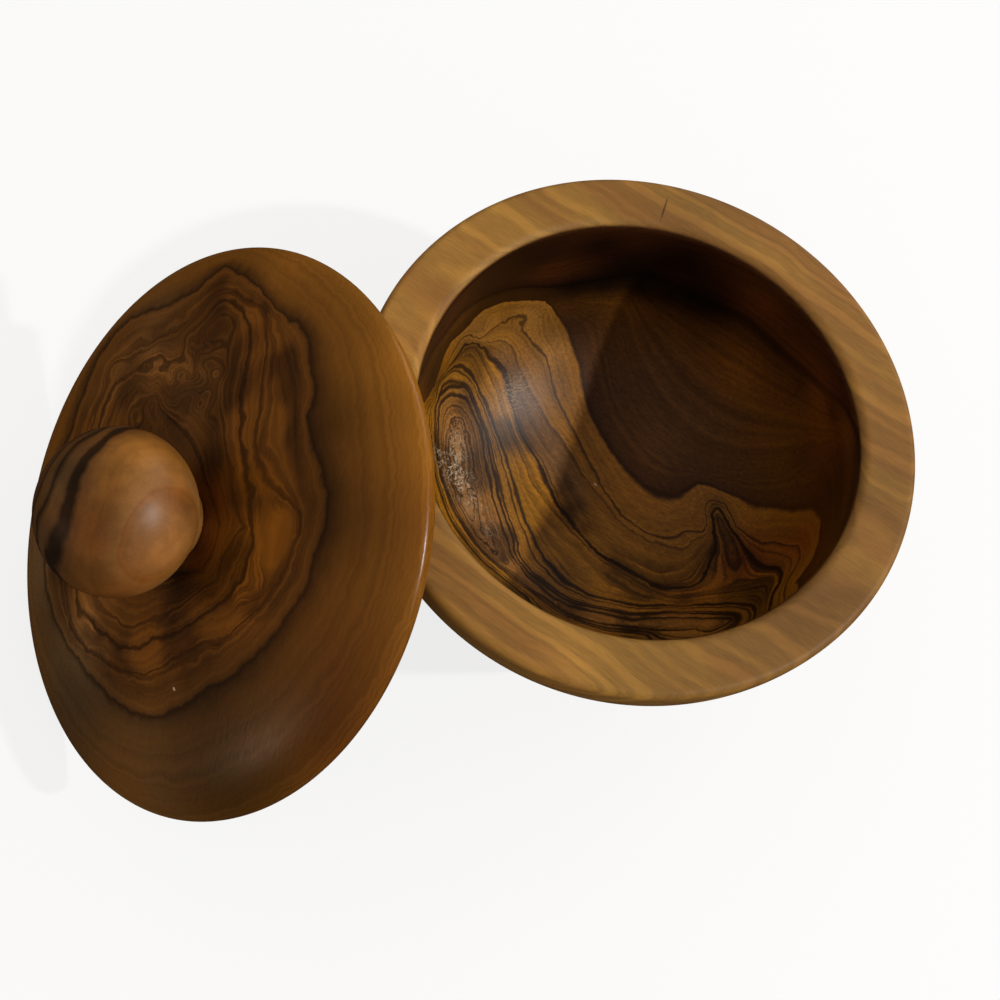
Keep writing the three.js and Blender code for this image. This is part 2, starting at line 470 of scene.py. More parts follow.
def laid_on(surface, pixel):
    """Where the camera's view through a pixel of the photograph meets a piece, or None."""
    right, up, forward = camera_axes()
    across, down = pixel[0] - PHOTO_PIXELS / 2, pixel[1] - PHOTO_PIXELS / 2
    view = forward * PIXELS_PER_SENSOR + right * across - up * down
    return surface.ray_cast(CAMERA_AIM - forward * CAMERA_DISTANCE, view.normalized())[0]


def followed(pixels):
    """Evenly spaced pixels along a line of them."""
    line = []
    for (x0, y0), (x1, y1) in zip(pixels, pixels[1:]):
        steps = max(1, round(math.dist((x0, y0), (x1, y1)) / FOLLOW_STEP))
        for i in range(steps):
            line.append((x0 + (x1 - x0) * i / steps, y0 + (y1 - y0) * i / steps))
    return line + [pixels[-1]]


jar_surface, lid_surface, knob_surface = (surface_of(piece) for piece in (jar, lid, knob))
floor_of_the_hollow = laid_on(jar_surface, MIDDLE_OF_THE_HOLLOW)
print("the floor of the hollow is", round(floor_of_the_hollow.z / MM, 1), "mm above the table there")

# %% Fill in the ages between the followed lines
CLOSEST_AGES = 0.3 * MM
FIELD_SIZE = 20 * MM
AGES_AT_ONCE = 5000
SMALLEST_REACH = 1e-6


def points_with_ages(surface, layers, allowed):
    """Points along all the followed layers, no two of them too close, and the age of each."""
    points, ages = [], []
    for age, pixels in layers.values():
        for pixel in followed(pixels):
            point = laid_on(surface, pixel)
            if point is None or not allowed(point):
                continue
            if all((point - other).length > CLOSEST_AGES for other in points):
                points.append(point)
                ages.append(age)
    return points, ages


def age_weights(centres, ages):
    """What each centre counts for in a smooth field through all the ages; the last four are the
    field's level and its slope."""
    apart = np.linalg.norm(centres[:, None] - centres[None], axis=-1)
    level = np.hstack([np.ones((len(centres), 1)), centres])
    system = np.block([[apart, level], [level.T, np.zeros((4, 4))]])
    return np.linalg.solve(system, np.concatenate([ages, np.zeros(4)]))


def ages_and_paces(centres, weights, places, facing):
    """The age at some places, and how many years pass there in a metre along the surface. The
    centres and the places are in the field's own size."""
    towards = places[:, None] - centres[None]
    reach = np.linalg.norm(towards, axis=-1)
    ages = reach @ weights[:-4] + weights[-4] + places @ weights[-3:]
    pull = weights[:-4] / np.maximum(reach, SMALLEST_REACH)
    climb = np.einsum("pcx,pc->px", towards, pull) + weights[-3:]
    climb -= (climb * facing).sum(-1, keepdims=True) * facing
    return ages, np.linalg.norm(climb, axis=-1) / FIELD_SIZE


def age_field(surface, layers, allowed, places, facing):
    """The ages and the paces at all places of a piece, worked out a few thousand at a time."""
    points, ages = points_with_ages(surface, layers, allowed)
    centres = np.array(points) / FIELD_SIZE
    weights = age_weights(centres, ages)
    found = []
    for start in range(0, len(places), AGES_AT_ONCE):
        batch = slice(start, start + AGES_AT_ONCE)
        found.append(ages_and_paces(centres, weights, places[batch] / FIELD_SIZE, facing[batch]))
    print("ages laid on the wood at", len(centres), "points, and worked out at", len(places))
    return np.concatenate(found, axis=1)


# %% [markdown]
# In the hollow, the smooth dark heartwood has an age below zero. The honey band lies between its
# edge and the first thin line. From there the layers close in towards an eye in the wall, where
# a branch began: they arch over it and come back down along the mouth.

# %% Layers followed in the hollow, as (age, pixels of the photograph)
HOLLOW_LAYERS = {
    "darkest band under the mouth": (-4.0, [(447, 331), (462, 312), (480, 300), (500, 291),
        (520, 287), (545, 288), (570, 285), (625, 274), (650, 275), (672, 284), (720, 309),
        (745, 318)]),
    "third faint layer of the heart": (-3.0, [(645, 300), (725, 360), (820, 414), (845, 425)]),
    "second faint layer of the heart": (-2.0, [(628, 300), (640, 338), (668, 385), (690, 408),
        (715, 427), (742, 436), (770, 438), (832, 437)]),
    "first faint layer of the heart": (-1.0, [(600, 322), (612, 385), (625, 415), (645, 443),
        (668, 463), (695, 470), (750, 480), (778, 478), (805, 467), (835, 450)]),
    "edge of the heart": (0.0, [(433, 397), (441, 364), (446, 351), (452, 341), (470, 325),
        (478, 315), (485, 309), (505, 301), (530, 300), (543, 301), (551, 306), (566, 331),
        (577, 363), (587, 409), (600, 437), (618, 462), (642, 488), (655, 497), (669, 500),
        (683, 498), (690, 490), (699, 484), (711, 486), (724, 491), (754, 506), (793, 512),
        (814, 511), (820, 522), (819, 541), (811, 561), (795, 583)]),
    "thin first line": (1.0, [(444, 372), (454, 350), (461, 340), (467, 336), (479, 340), (497, 326),
        (504, 324), (517, 325), (521, 332), (546, 357), (556, 397), (561, 408), (605, 492),
        (620, 514), (641, 530), (652, 535), (664, 538), (676, 537), (684, 532), (704, 532),
        (708, 524), (706, 512), (708, 502), (714, 500), (721, 502), (727, 508), (736, 527),
        (753, 539), (762, 544), (772, 542), (788, 546), (795, 546), (800, 552), (798, 563),
        (785, 585)]),
    "edge of the pinkish wood": (1.6, [(483, 344), (498, 340), (506, 342), (512, 347), (516, 355),
        (518, 367), (549, 426), (562, 441), (582, 473), (615, 515), (626, 526), (648, 540),
        (682, 549), (688, 547), (692, 540), (706, 535)]),
    "bold line round the branch": (2.5, [(466, 343), (478, 343), (485, 347), (489, 357), (497, 362),
        (504, 371), (519, 425), (525, 440), (541, 465), (557, 502), (564, 513), (580, 535),
        (597, 552), (607, 560), (651, 584), (662, 588), (690, 586), (699, 582), (715, 550),
        (716, 538), (711, 515), (714, 508), (720, 508), (749, 554), (757, 563), (765, 567),
        (776, 568), (782, 572), (780, 583)]),
    "line below the branch": (3.0, [(519, 450), (530, 478), (539, 492), (570, 530), (604, 562),
        (652, 590), (664, 596), (677, 598), (736, 592), (766, 586)]),
    "outer arch over the eye": (4.0, [(434, 393), (442, 377), (453, 369), (460, 368), (470, 375),
        (484, 401), (501, 447), (522, 514), (531, 538), (544, 561), (565, 583), (590, 596),
        (622, 604), (640, 607), (660, 606), (700, 606), (736, 604), (752, 607)]),
    "outer arch, coming back": (4.4, [(432, 405), (431, 432), (438, 480), (448, 508), (455, 522),
        (463, 534), (482, 557), (532, 597)]),
    "middle arch, coming back": (5.3, [(434, 416), (435, 446), (440, 477), (445, 491), (450, 505),
        (464, 530), (482, 552), (515, 580), (557, 610), (572, 618), (588, 625), (606, 630),
        (646, 634)]),
    "middle arch": (5.6, [(436, 404), (439, 396), (448, 387), (465, 386), (470, 392), (486, 434),
        (498, 494), (513, 539), (514, 551), (519, 562), (528, 572), (550, 590), (562, 598),
        (576, 604), (592, 606), (626, 614), (646, 615), (668, 612), (732, 614)]),
    "inner arch": (6.0, [(439, 412), (442, 403), (446, 397), (451, 394), (463, 397), (468, 401),
        (480, 430), (492, 494), (511, 554), (528, 577), (553, 598), (567, 605), (632, 620),
        (672, 618), (734, 618)]),
    "inner arch, coming back": (6.0, [(438, 425), (438, 440), (442, 472), (446, 487), (458, 514),
        (481, 548), (500, 566), (523, 584), (567, 614), (598, 624), (656, 630), (676, 630),
        (696, 628)]),
    "last arch": (7.0, [(446, 440), (448, 430), (452, 423), (457, 419), (462, 421), (466, 428),
        (472, 450), (478, 509), (484, 534), (488, 545), (494, 554)]),
    "last arch, coming back": (7.0, [(446, 455), (451, 484), (456, 498), (467, 522), (481, 542)]),
    "eye": (7.6, [(452, 446), (455, 437), (459, 434), (463, 439), (469, 508)]),
}
print("followed", len(HOLLOW_LAYERS), "layers in the hollow")

# %% [markdown]
# On the lid the layers lie one inside the other, like the contours of a hill whose top is under
# the knob, because the dome was cut across a burl. The knob was turned from a stick cut across
# its layers, so it has dark stripes on one side and rings round an eye on the other.

# %% Layers followed on the lid and the knob
LID_LAYERS = {
    "edge of the heart": (0.0, [(70, 438), (79, 408), (97, 362), (102, 351), (114, 334), (131, 319),
        (141, 314), (162, 309), (171, 305), (200, 286), (225, 264), (256, 281), (274, 305),
        (298, 322), (304, 330), (308, 340), (310, 353), (312, 388), (309, 418), (310, 435),
        (317, 466), (328, 490), (329, 502), (327, 517), (319, 550), (306, 586), (297, 602),
        (276, 631), (264, 645), (250, 657), (164, 716), (151, 718), (139, 714), (115, 699),
        (104, 690), (84, 668), (70, 643), (61, 632), (54, 619), (45, 588)]),
    "soft band inside it": (1.5, [(279, 316), (287, 360), (295, 390), (297, 405), (298, 452),
        (306, 498), (306, 513), (299, 547), (288, 579), (271, 606), (248, 632), (235, 642),
        (160, 690), (149, 692), (137, 688), (113, 675), (90, 657), (72, 636), (65, 624), (60, 610)]),
    "streak on the right": (2.5, [(262, 300), (268, 312), (271, 325), (274, 355), (269, 415),
        (262, 448)]),
    "outer line": (3.0, [(266, 480), (292, 503), (298, 512), (298, 524), (291, 553), (279, 579),
        (256, 611), (237, 628), (180, 656), (160, 671), (140, 676), (121, 673), (87, 648), (74, 628),
        (69, 614)]),
    "short line between": (3.5, [(262, 596), (231, 618), (203, 625), (193, 630)]),
    "middle line": (4.0, [(246, 468), (248, 481), (253, 492), (251, 518), (253, 532), (251, 547),
        (241, 575), (225, 597), (180, 635), (157, 639), (137, 646), (126, 646), (117, 643),
        (108, 637), (99, 629), (86, 609)]),
    "arch above the knob": (4.0, [(120, 377), (131, 371), (168, 367), (178, 362), (214, 308),
        (222, 300), (233, 301), (242, 310), (248, 322), (251, 335), (250, 350), (242, 396)]),
    "inner line": (5.0, [(246, 526), (222, 558), (216, 578), (186, 601), (157, 618), (143, 624),
        (131, 627), (122, 624), (99, 601)]),
    "dark patch above the knob": (5.0, [(128, 379), (180, 374), (207, 380), (218, 372), (232, 343),
        (234, 328), (230, 315)]),
    "no line of its own, on the right": (3.5, [(270, 500), (276, 520), (275, 545), (266, 568)]),
    "line beside the knob": (6.3, [(222, 526), (218, 543), (210, 557), (200, 568)]),
}

KNOB_LAYERS = {
    "second dark stripe": (1.0, [(76, 443), (62, 464), (53, 487), (44, 508), (37, 524)]),
    "main dark stripe": (0.0, [(108, 436), (88, 455), (77, 477), (70, 500), (62, 525), (53, 548),
        (47, 560)]),
    "faint stripe": (-2.0, [(120, 445), (105, 470), (97, 500), (90, 530), (85, 560), (86, 578)]),
    "pale ring": (-5.0, [(185, 482), (165, 480), (148, 484), (133, 494), (122, 510), (113, 530),
        (110, 555), (117, 575), (130, 586)]),
    "brown ring": (-6.5, [(190, 500), (180, 491), (165, 489), (150, 493), (138, 502), (129, 516),
        (124, 532), (119, 550), (122, 566), (132, 576), (148, 580), (163, 575), (178, 562)]),
    "inner ring": (-8.0, [(175, 520), (160, 512), (147, 518), (141, 532), (141, 548), (148, 560),
        (160, 562), (172, 552), (178, 538)]),
    "eye": (-9.5, [(158, 536), (158, 540)]),
}
print("followed", len(LID_LAYERS), "layers on the lid and", len(KNOB_LAYERS), "on the knob")

# %% [markdown]
# No two places in the wood are alike. Where the photograph shows a darker or a lighter place, a
# tint, curly layers or wear, a soft round spot says so: the pixel that it lies on, its radius in mm
# and its amount. It could be painted on the mesh by hand, but a list can be read and changed. Not
# all of them are the wood's own tone: some are painted shade, shadow, light, sheen and reflection,
# and a comment says so where they stand. A spot's amount counts in doublings of the light, so that
# -1 halves it. The fold is the dark strip of heart along the honey wood, where the wall of the
# hollow turns into its floor.

# %% Spots in the hollow, as (pixel, radius in mm, amount)
HOLLOW_TONES_AND_PAINTED_LIGHT = {
    # Black band: painted shade under the mouth's overhang, over dark heartwood.
    "black band, left end": ((576, 287), 3, -1.0),
    "black band, on the fold": ((604, 284), 3.2, -2.4),
    "black band, above the fold": ((620, 268), 5, -1.8),
    "black band, middle": ((640, 277), 4, -1.6),
    "black band, wide part": ((655, 262), 6, -1.0),
    "black band, lower middle": ((640, 289), 3, -1.6),
    "black band, right of the middle": ((665, 294), 3, -1.8),
    "black band, right": ((692, 300), 4, -1.8),
    "black band, right end": ((714, 307), 3.6, -1.3),
    "black band, upper right": ((698, 288), 7, -1.1),
    "black band, upper end": ((684, 257), 5, -1.3),
    # Painted light: these two brighten the far wall, which lies in shade.
    "wall beyond the black band": ((762, 305), 7, 1.4),
    "wall on the right": ((797, 352), 6, 0.7),
    "dark wood under the mouth": ((600, 246), 4, -1.7),
    "dark wood under the mouth, left": ((545, 255), 6, -0.7),
    "dark wood under the mouth, far left": ((500, 272), 9, -1.2),
    "left wall": ((445, 315), 7, -0.35),
    # Painted highlight: these two pale places lie on the mouth's rounding, not on the wall.
    "left wall, pale place": ((447, 325), 3.2, 0.7),
    "left wall, upper pale place": ((460, 305), 3.2, 0.7),
    "left wall, low": ((432, 377), 4, -1.5),
    "pale wall above the honey wood": ((548, 271), 4, 0.6),
    "heart beside the honey wood": ((582, 320), 6, -1.1),
    "heart on the left": ((650, 330), 4, -0.3),
    "pale heart in the middle": ((740, 368), 7, 0.9),
    "pale heart, right": ((820, 380), 7, 1.05),
    "dark streak, right": ((800, 385), 2.4, -0.6),
    "second dark streak, right": ((832, 412), 2.6, -0.8),
    "pale heart, far right": ((850, 432), 4, 0.7),
    "pale heart, low": ((648, 448), 8, 0.65),
    "curly heart on the right": ((802, 455), 4, -0.4),
    "right wall": ((835, 470), 9, -0.75),
    "right wall, low": ((782, 530), 6, -0.4),
    "knot in the honey wood": ((574, 508), 2.2, -1.3),
    "knot, upper end": ((566, 488), 1.8, -0.8),
    "knot, lower end": ((585, 527), 1.6, -0.9),
    "pin knot": ((716, 506), 1.6, -0.8),
    "branch": ((735, 560), 5, -0.5),
    "below the branch": ((750, 600), 5, -0.4),
    "shaded honey wood": ((540, 330), 7, -0.25),
    "dark end of the first line": ((508, 313), 3, -0.45),
    "honey wood in the light": ((556, 352), 3.5, 0.5),
    "honey wood beside the light": ((556, 384), 4, -0.3),
    "honey wood on the left": ((468, 338), 4, -0.3),
    "purple wood": ((515, 372), 2.4, -0.6),
    "grey strip": ((497, 440), 2.4, -0.4),
    "golden wood": ((630, 520), 9, 0.25),
    "golden strip at the bottom": ((630, 592), 6, 0.7),
    "golden strip, left": ((512, 572), 6, 0.5),
}
FOLD_PLACES = [(440, 352), (452, 337), (466, 323), (480, 308), (497, 297), (514, 293), (531, 293),
               (548, 293), (564, 291), (580, 287)]
FOLD_RADII = [2.6] * 3 + [2.8] * 7
FOLD_AMOUNTS = [0.9, 0.9, 0.9, 1.2, 1.4, 1.5, 1.5, 1.5, 1.4, 1.3]
HOLLOW_FOLD = {f"place {i}": spot for i, spot in enumerate(zip(FOLD_PLACES, FOLD_RADII, FOLD_AMOUNTS), 1)}
HOLLOW_REDS = {
    "branch": ((745, 560), 7, 1.0),
    "beside the branch": ((800, 545), 6, 0.9),
    "below the branch": ((690, 600), 6, 0.4),
    "right wall": ((830, 440), 8, 0.5),
}
HOLLOW_PINKS = {
    "top of the pink wood": ((500, 362), 4, 1.0),
    "beside the gloss": ((520, 395), 5, 1.0),
    "middle": ((545, 430), 5, 1.0),
    "below the middle": ((556, 465), 5, 0.9),
    "end": ((575, 490), 4, 0.5),
}
HOLLOW_CURLS = {
    "round the eye": ((458, 430), 3, 1.0),
    "below the eye": ((468, 490), 3.4, 1.0),
    "far below the eye": ((490, 540), 3, 0.7),
    "heart on the right": ((812, 462), 5, 0.8),
}
HOLLOW_SCUFFS = {
    "top": ((455, 445), 2.6, 0.9),
    "middle": ((452, 466), 3.0, 1.1),
    "below the middle": ((462, 484), 2.8, 1.0),
    "low": ((474, 505), 2.2, 0.8),
    "lowest": ((490, 528), 1.8, 0.6),
    "at the mouth": ((440, 455), 1.6, 0.9),
}
HOLLOW_SCRATCH_GLINTS = {
    # Scratches in the gloss, painted pale as the glint that they give there.
    "gloss": ((507, 398), 3.2, 1.0),
    "above the gloss": ((520, 383), 2.8, 0.8),
    "right of the gloss": ((534, 405), 2.0, 0.6),
}
HOLLOW_BEIGES = {
    "honey wood at the top": ((530, 318), 8, 0.6),
    "honey wood on the left": ((475, 332), 6, 0.6),
    "honey wood in the light": ((556, 352), 4, 0.6),
}
print("the hollow has", len(HOLLOW_TONES_AND_PAINTED_LIGHT), "tone_and_painted_light_spots and", len(HOLLOW_SCUFFS), "scuffed places")

# %% Spots on the ring, the lid and the knob
RING_TONES_AND_PAINTED_SHEEN = {
    # The ring's tone with painted sheen of the grain: mostly lighter on the left, darker low and right.
    "top left": ((455, 245), 14, 0.25),
    "left": ((405, 330), 12, 0.5),
    "upper left": ((438, 290), 5, -0.5),
    "top": ((700, 205), 9, -0.3),
    "right": ((885, 490), 10, -0.3),
    "low right": ((815, 602), 15, -0.5),
    "bottom": ((680, 672), 14, -0.25),
    "bottom, left": ((563, 668), 5, 0.35),
}
RING_PINKS = {
    "low right": ((800, 605), 14, 1.0),
    "right": ((880, 500), 8, 0.4),
}
LID_TONES_AND_PAINTED_LIGHT = {
    # Painted shadow of the knob on the lid, over darker wood: the four spots beside and below it.
    "beside the knob, top": ((214, 465), 3.5, -1.5),
    "beside the knob": ((205, 505), 3.5, -1.8),
    "beside the knob, low": ((198, 548), 3.0, -1.6),
    "below the knob": ((180, 580), 2.4, -1.2),
    "above the knob": ((172, 388), 6, 0.35),
    "curly wood on the left": ((155, 343), 6, 0.5),
    "top of the heart": ((225, 330), 4, -1.1),
    "upper tip of the heart": ((225, 300), 3, -0.4),
    "pale sapwood at the top": ((285, 268), 6, 0.35),
    "middle of the sapwood": ((346, 520), 8, -0.5),
    "bottom": ((230, 775), 16, -1.65),
    "low left": ((75, 705), 14, -1.0),
    "low right": ((340, 690), 14, -0.75),
    "orange edge": ((335, 735), 6, -0.3),
    "left": ((45, 620), 7, -0.45),
    "right": ((370, 470), 14, -0.5),
    # Painted sheen: the pale edge follows the highlight on the lid's rounded right edge.
    "pale edge": ((412, 450), 9, 0.7),
    "pale edge, top": ((398, 365), 7, 0.5),
    "edge of the heart": ((335, 420), 5, -0.55),
    "tip of the heart": ((150, 690), 7, 0.5),
    "heart, low left": ((90, 630), 7, 1.35),
    "heart, low": ((250, 600), 8, 0.35),
    "heart, right": ((280, 530), 6, 0.3),
}
LID_CURLS = {
    "right": ((195, 345), 7, 1.0),
    "left": ((150, 385), 8, 1.0),
    "beside the knob": ((205, 395), 5, 0.8),
    "far left": ((110, 370), 7, 0.6),
}
LID_REFLECTION_GREYS = {
    # Painted reflection: grey where the oil mirrors the pale room, mostly on the left and low.
    "left edge": ((40, 560), 14, 0.95),
    "heart, left": ((106, 388), 7, 0.4),
    "low left": ((70, 690), 15, 0.9),
    "bottom": ((160, 780), 13, 0.5),
    "heart, low left": ((85, 640), 8, 0.5),
    "top of the heart": ((150, 345), 10, 0.7),
    "above the knob": ((190, 385), 8, 0.5),
}
LID_REDS = {
    # Painted shadow: the knob's shadow beside it is reddish, over darker wood.
    "beside the knob": ((207, 500), 5, 1.0),
    "beside the knob, low": ((200, 545), 4, 0.8),
    "orange edge": ((330, 745), 9, 0.5),
    "low right": ((350, 660), 10, 0.35),
    "right edge": ((412, 520), 9, 0.2),
}
KNOB_STAINS = {
    "middle": ((110, 520), 6, -0.5),
    "top": ((140, 452), 5, 0.55),
    "low": ((100, 575), 6, -0.5),
    "left": ((50, 500), 4, 0.2),
    "right": ((168, 545), 5, 0.3),
    "right edge": ((190, 510), 3.4, -0.6),
}
KNOB_REDS = {
    "middle": ((92, 530), 6, 0.45),
    "low": ((125, 590), 6, 0.45),
    "round the highlight": ((178, 492), 4, 0.4),
}
KNOB_RIM_REFLECTIONS = {
    # Painted reflection: pinkish grey along the knob's left rim.
    "left of the main stripe": ((60, 475), 5, 0.6),
    "low left": ((48, 545), 5, 0.6),
}
JAR_SPOTS = {"tone_and_painted_light": HOLLOW_TONES_AND_PAINTED_LIGHT, "fold": HOLLOW_FOLD, "red": HOLLOW_REDS, "pink": HOLLOW_PINKS,
             "curl": HOLLOW_CURLS, "scuff": HOLLOW_SCUFFS, "scratch_glint": HOLLOW_SCRATCH_GLINTS,
             "beige": HOLLOW_BEIGES, "ring_tone_and_painted_sheen": RING_TONES_AND_PAINTED_SHEEN, "ring_pink": RING_PINKS}
LID_SPOTS = {"tone_and_painted_light": LID_TONES_AND_PAINTED_LIGHT, "red": LID_REDS, "grey": LID_REFLECTION_GREYS, "curl": LID_CURLS}
KNOB_SPOTS = {"tone_and_painted_light": KNOB_STAINS, "red": KNOB_REDS, "grey": KNOB_RIM_REFLECTIONS}
for name, kinds in (("jar", JAR_SPOTS), ("lid", LID_SPOTS), ("knob", KNOB_SPOTS)):
    print("the", name, "has", sum(len(spots) for spots in kinds.values()), "spots")

# %% [markdown]
# Each piece now gets its ages as an attribute, which a material can read at every point, and its
# pace: how many years pass in a metre there. With the pace, a line can keep its width in real
# millimetres. The jar also gets one that says where the hollow is, because the ring and the
# outside are plain sapwood. The lid's figure goes down through the wood, so a point on its
# underside takes its age from close below the dome above it.

# %% Where the hollow is, and how the lid's figure goes down
MOUTH_TURNS_IN = 0.3
MOUTH_IS_IN = 1.5
MOUTH_SLACK = 0.1
NEAR_THE_AXIS = 0.01
FACES_OUT_FROM = 0.05
FACES_DOWN_FROM = -0.5
FIGURE_GOES_THROUGH = 0.9


def triples(collection, name="vector"):
    """The three numbers of each item in a mesh's collection."""
    values = np.empty(len(collection) * 3, np.float32)
    collection.foreach_get(name, values)
    return values.reshape(-1, 3).astype(float)


def in_the_hollow(piece):
    """1 in the hollow, 0 on the ring and outside, and in between on the mouth's rounding."""
    places = triples(piece.data.vertices, "co") / MM
    facing = triples(piece.data.vertex_normals)
    radius = np.hypot(places[:, 0], places[:, 1])
    outwards = places[:, 0] * facing[:, 0] + places[:, 1] * facing[:, 1]
    faces_inwards = outwards / np.maximum(radius, NEAR_THE_AXIS) < FACES_OUT_FROM
    faces_up = facing[:, 2] > FACES_DOWN_FROM
    inside_the_ring = radius < MOUTH_RADIUS + MOUTH_ROUNDING + MOUTH_SLACK
    depth = (JAR_HEIGHT - places[:, 2] - MOUTH_TURNS_IN) / (MOUTH_IS_IN - MOUTH_TURNS_IN)
    return np.clip(depth, 0, 1) * (inside_the_ring & faces_inwards & faces_up)


def below_the_mouth(point):
    radius = math.hypot(point.x, point.y)
    return radius < HOLLOW_RADIUS * MM and point.z < (JAR_HEIGHT - MOUTH_IS_IN) * MM


def anywhere(point):
    return True


def near_the_dome(lid):
    """The lid's points, drawn most of the way up to its dome."""
    on_lathe = triples(lid.data.attributes["blank"].data) / MM
    share_out = np.clip(np.hypot(on_lathe[:, 0], on_lathe[:, 1]) / LID_RADIUS, 0, 1)
    share_up = (1 - share_out ** DOME_FULLNESS) ** (1 / DOME_FULLNESS)
    dome = LID_EDGE + (LID_DOME_HEIGHT - LID_EDGE) * share_up
    up = np.array(leaning().to_3x3() @ Vector((0, 0, 1)))
    lifted = np.maximum(dome - on_lathe[:, 2], 0) * FIGURE_GOES_THROUGH * MM
    return triples(lid.data.vertices, "co") + lifted[:, None] * up


print("a share of", round(in_the_hollow(jar).mean(), 2), "of the jar's points lies in the hollow")

# %% Give the pieces their ages and their spots
SLOWEST_PACE = 30.0


def write_attribute(piece, name, values):
    attribute = piece.data.attributes.new(name, "FLOAT", "POINT")
    attribute.data.foreach_set("value", np.asarray(values, np.float32))
    print(f"{piece.name}: {name} from {values.min():.2f} to {values.max():.2f}")


def give_ages(piece, surface, layers, places, allowed=anywhere):
    ages, paces = age_field(surface, layers, allowed, places, triples(piece.data.vertex_normals))
    write_attribute(piece, "age", ages)
    write_attribute(piece, "pace", np.maximum(paces, SLOWEST_PACE))


def give_spots(piece, surface, kinds):
    """Each kind of spot is an attribute: at each point, the sum of that kind's soft round spots."""
    places = triples(piece.data.vertices, "co")
    for kind, spots in kinds.items():
        values = np.zeros(len(places))
        for pixel, radius, amount in spots.values():
            apart = np.linalg.norm(places - np.array(laid_on(surface, pixel)), axis=-1) / (radius * MM)
            values += amount * np.exp(-apart ** 2)
        write_attribute(piece, kind, values)


give_ages(jar, jar_surface, HOLLOW_LAYERS, triples(jar.data.vertices, "co"), below_the_mouth)
give_ages(lid, lid_surface, LID_LAYERS, near_the_dome(lid))
give_ages(knob, knob_surface, KNOB_LAYERS, triples(knob.data.vertices, "co"))
write_attribute(jar, "hollow", in_the_hollow(jar))
for piece, surface, kinds in ((jar, jar_surface, JAR_SPOTS), (lid, lid_surface, LID_SPOTS),
                              (knob, knob_surface, KNOB_SPOTS)):
    give_spots(piece, surface, kinds)

# %% [markdown]
# A finish is a small recipe of shader nodes. These helpers name what they do in the wood: noise
# for what is irregular, a ramp for what changes with age, and a stretched noise for fibres.
# Colours are written as they look on a screen, from 0 to 255.

# %% Colours, noise and ramps
DARKEST_CURVED = 10.3
MOST_NOISE = (0.3, 0.7)
MIDDLE_NOISE = (0.35, 0.65)


def screen(*levels):
    """A colour as it looks on a screen, as the shader's linear colour."""
    linear = []
    for level in levels:
        share = level / 255
        linear.append(share / 12.92 if level < DARKEST_CURVED else ((share + 0.055) / 1.055) ** 2.4)
    return (*linear, 1.0)


def noise(where, per_metre, detail=2.0, roughness=0.5):
    """Smooth noise from 0 to 1 through the wood, mostly near 0.5."""
    return field(where.tree, "ShaderNodeTexNoise", {
        "Vector": where, "Scale": per_metre, "Detail": detail, "Roughness": roughness}, "Fac")


def layer_noise(age, per_year, detail=2.0):
    """Noise that changes only from layer to layer."""
    return field(age.tree, "ShaderNodeTexNoise", {
        "W": age, "Scale": per_year, "Detail": detail}, "Fac", noise_dimensions="1D")


def between(value, low, high, to_low=0.0, to_high=1.0):
    """Goes softly from one value to another while the input goes from low to high."""
    given = dict(enumerate((value, low, high, to_low, to_high)))
    return field(value.tree, "ShaderNodeMapRange", given, interpolation_type="SMOOTHSTEP")


def ramp(value, stops):
    """A colour ramp over a value; each stop is the value and a colour or a grey."""
    low, high = stops[0][0], stops[-1][0]
    node = place(value.tree, "ShaderNodeValToRGB", {0: (value - low) / (high - low)})
    marks = node.color_ramp.elements
    marks.remove(marks[1])
    for index, (at, colour) in enumerate(stops):
        mark = marks[0] if index == 0 else marks.new((at - low) / (high - low))
        mark.position = (at - low) / (high - low)
        mark.color = colour if isinstance(colour, tuple) else (colour, colour, colour, 1.0)
    return Field(node.outputs["Color"])


def mixed(amount, first, second, blend="MIX"):
    """Mixes two colours; amount 0 is the first."""
    return field(tree_of(amount, first, second), "ShaderNodeMix", {0: amount, 6: first, 7: second}, 2,
                 data_type="RGBA", blend_type=blend)


def shaded(colour, shade):
    """Makes a colour darker or lighter by a factor."""
    return field(tree_of(colour, shade), "ShaderNodeVectorMath", {0: colour, "Scale": shade},
                 operation="SCALE")


def scaled_in_doublings(colour, amount):
    """Doubles a colour's brightness for each whole step of an amount, or halves it when below 0."""
    return shaded(colour, maths("POWER", 2.0, amount))


def along_grain(where, turn, size, start=(0, 0, 0)):
    """Coordinates turned to lie along the fibres, with one unit for each size of a feature."""
    return field(where.tree, "ShaderNodeMapping", {
        "Vector": where, "Location": start, "Rotation": turn, "Scale": size}, vector_type="TEXTURE")


print("a screen's middle grey gives", round(screen(128)[0], 3), "of the light of white")

# %% Where a finish begins and ends
USUAL_SHEEN = 0.5
SHEEN_LEVEL = 0.3


def attribute(tree, name):
    return field(tree, "ShaderNodeAttribute", output="Fac", attribute_name=name)


def oiled(material, colour, roughness, height, depth):
    """Ends a finish: oiled wood with a soft sheen, and a relief of that depth."""
    tree = material.node_tree
    relief = field(tree, "ShaderNodeBump", {"Distance": depth, "Height": height})
    shader = field(tree, "ShaderNodeBsdfPrincipled", {
        "Base Color": colour, "Roughness": roughness, "Normal": relief,
        "Specular IOR Level": SHEEN_LEVEL})
    place(tree, "ShaderNodeOutputMaterial", {"Surface": shader})
    print(material.name, "is a recipe of", len(tree.nodes), "nodes")


def emptied(owner):
    """The node tree of a material or of the room, emptied."""
    owner.use_nodes = True
    owner.node_tree.nodes.clear()
    return owner.node_tree


def places_on(material):
    """The place of each point on the piece, in the material's emptied node tree."""
    return field(emptied(material), "ShaderNodeTexCoord", output="Object")


print("the oil mirrors", round(SHEEN_LEVEL / USUAL_SHEEN, 2), "of what the shader's usual surface does")

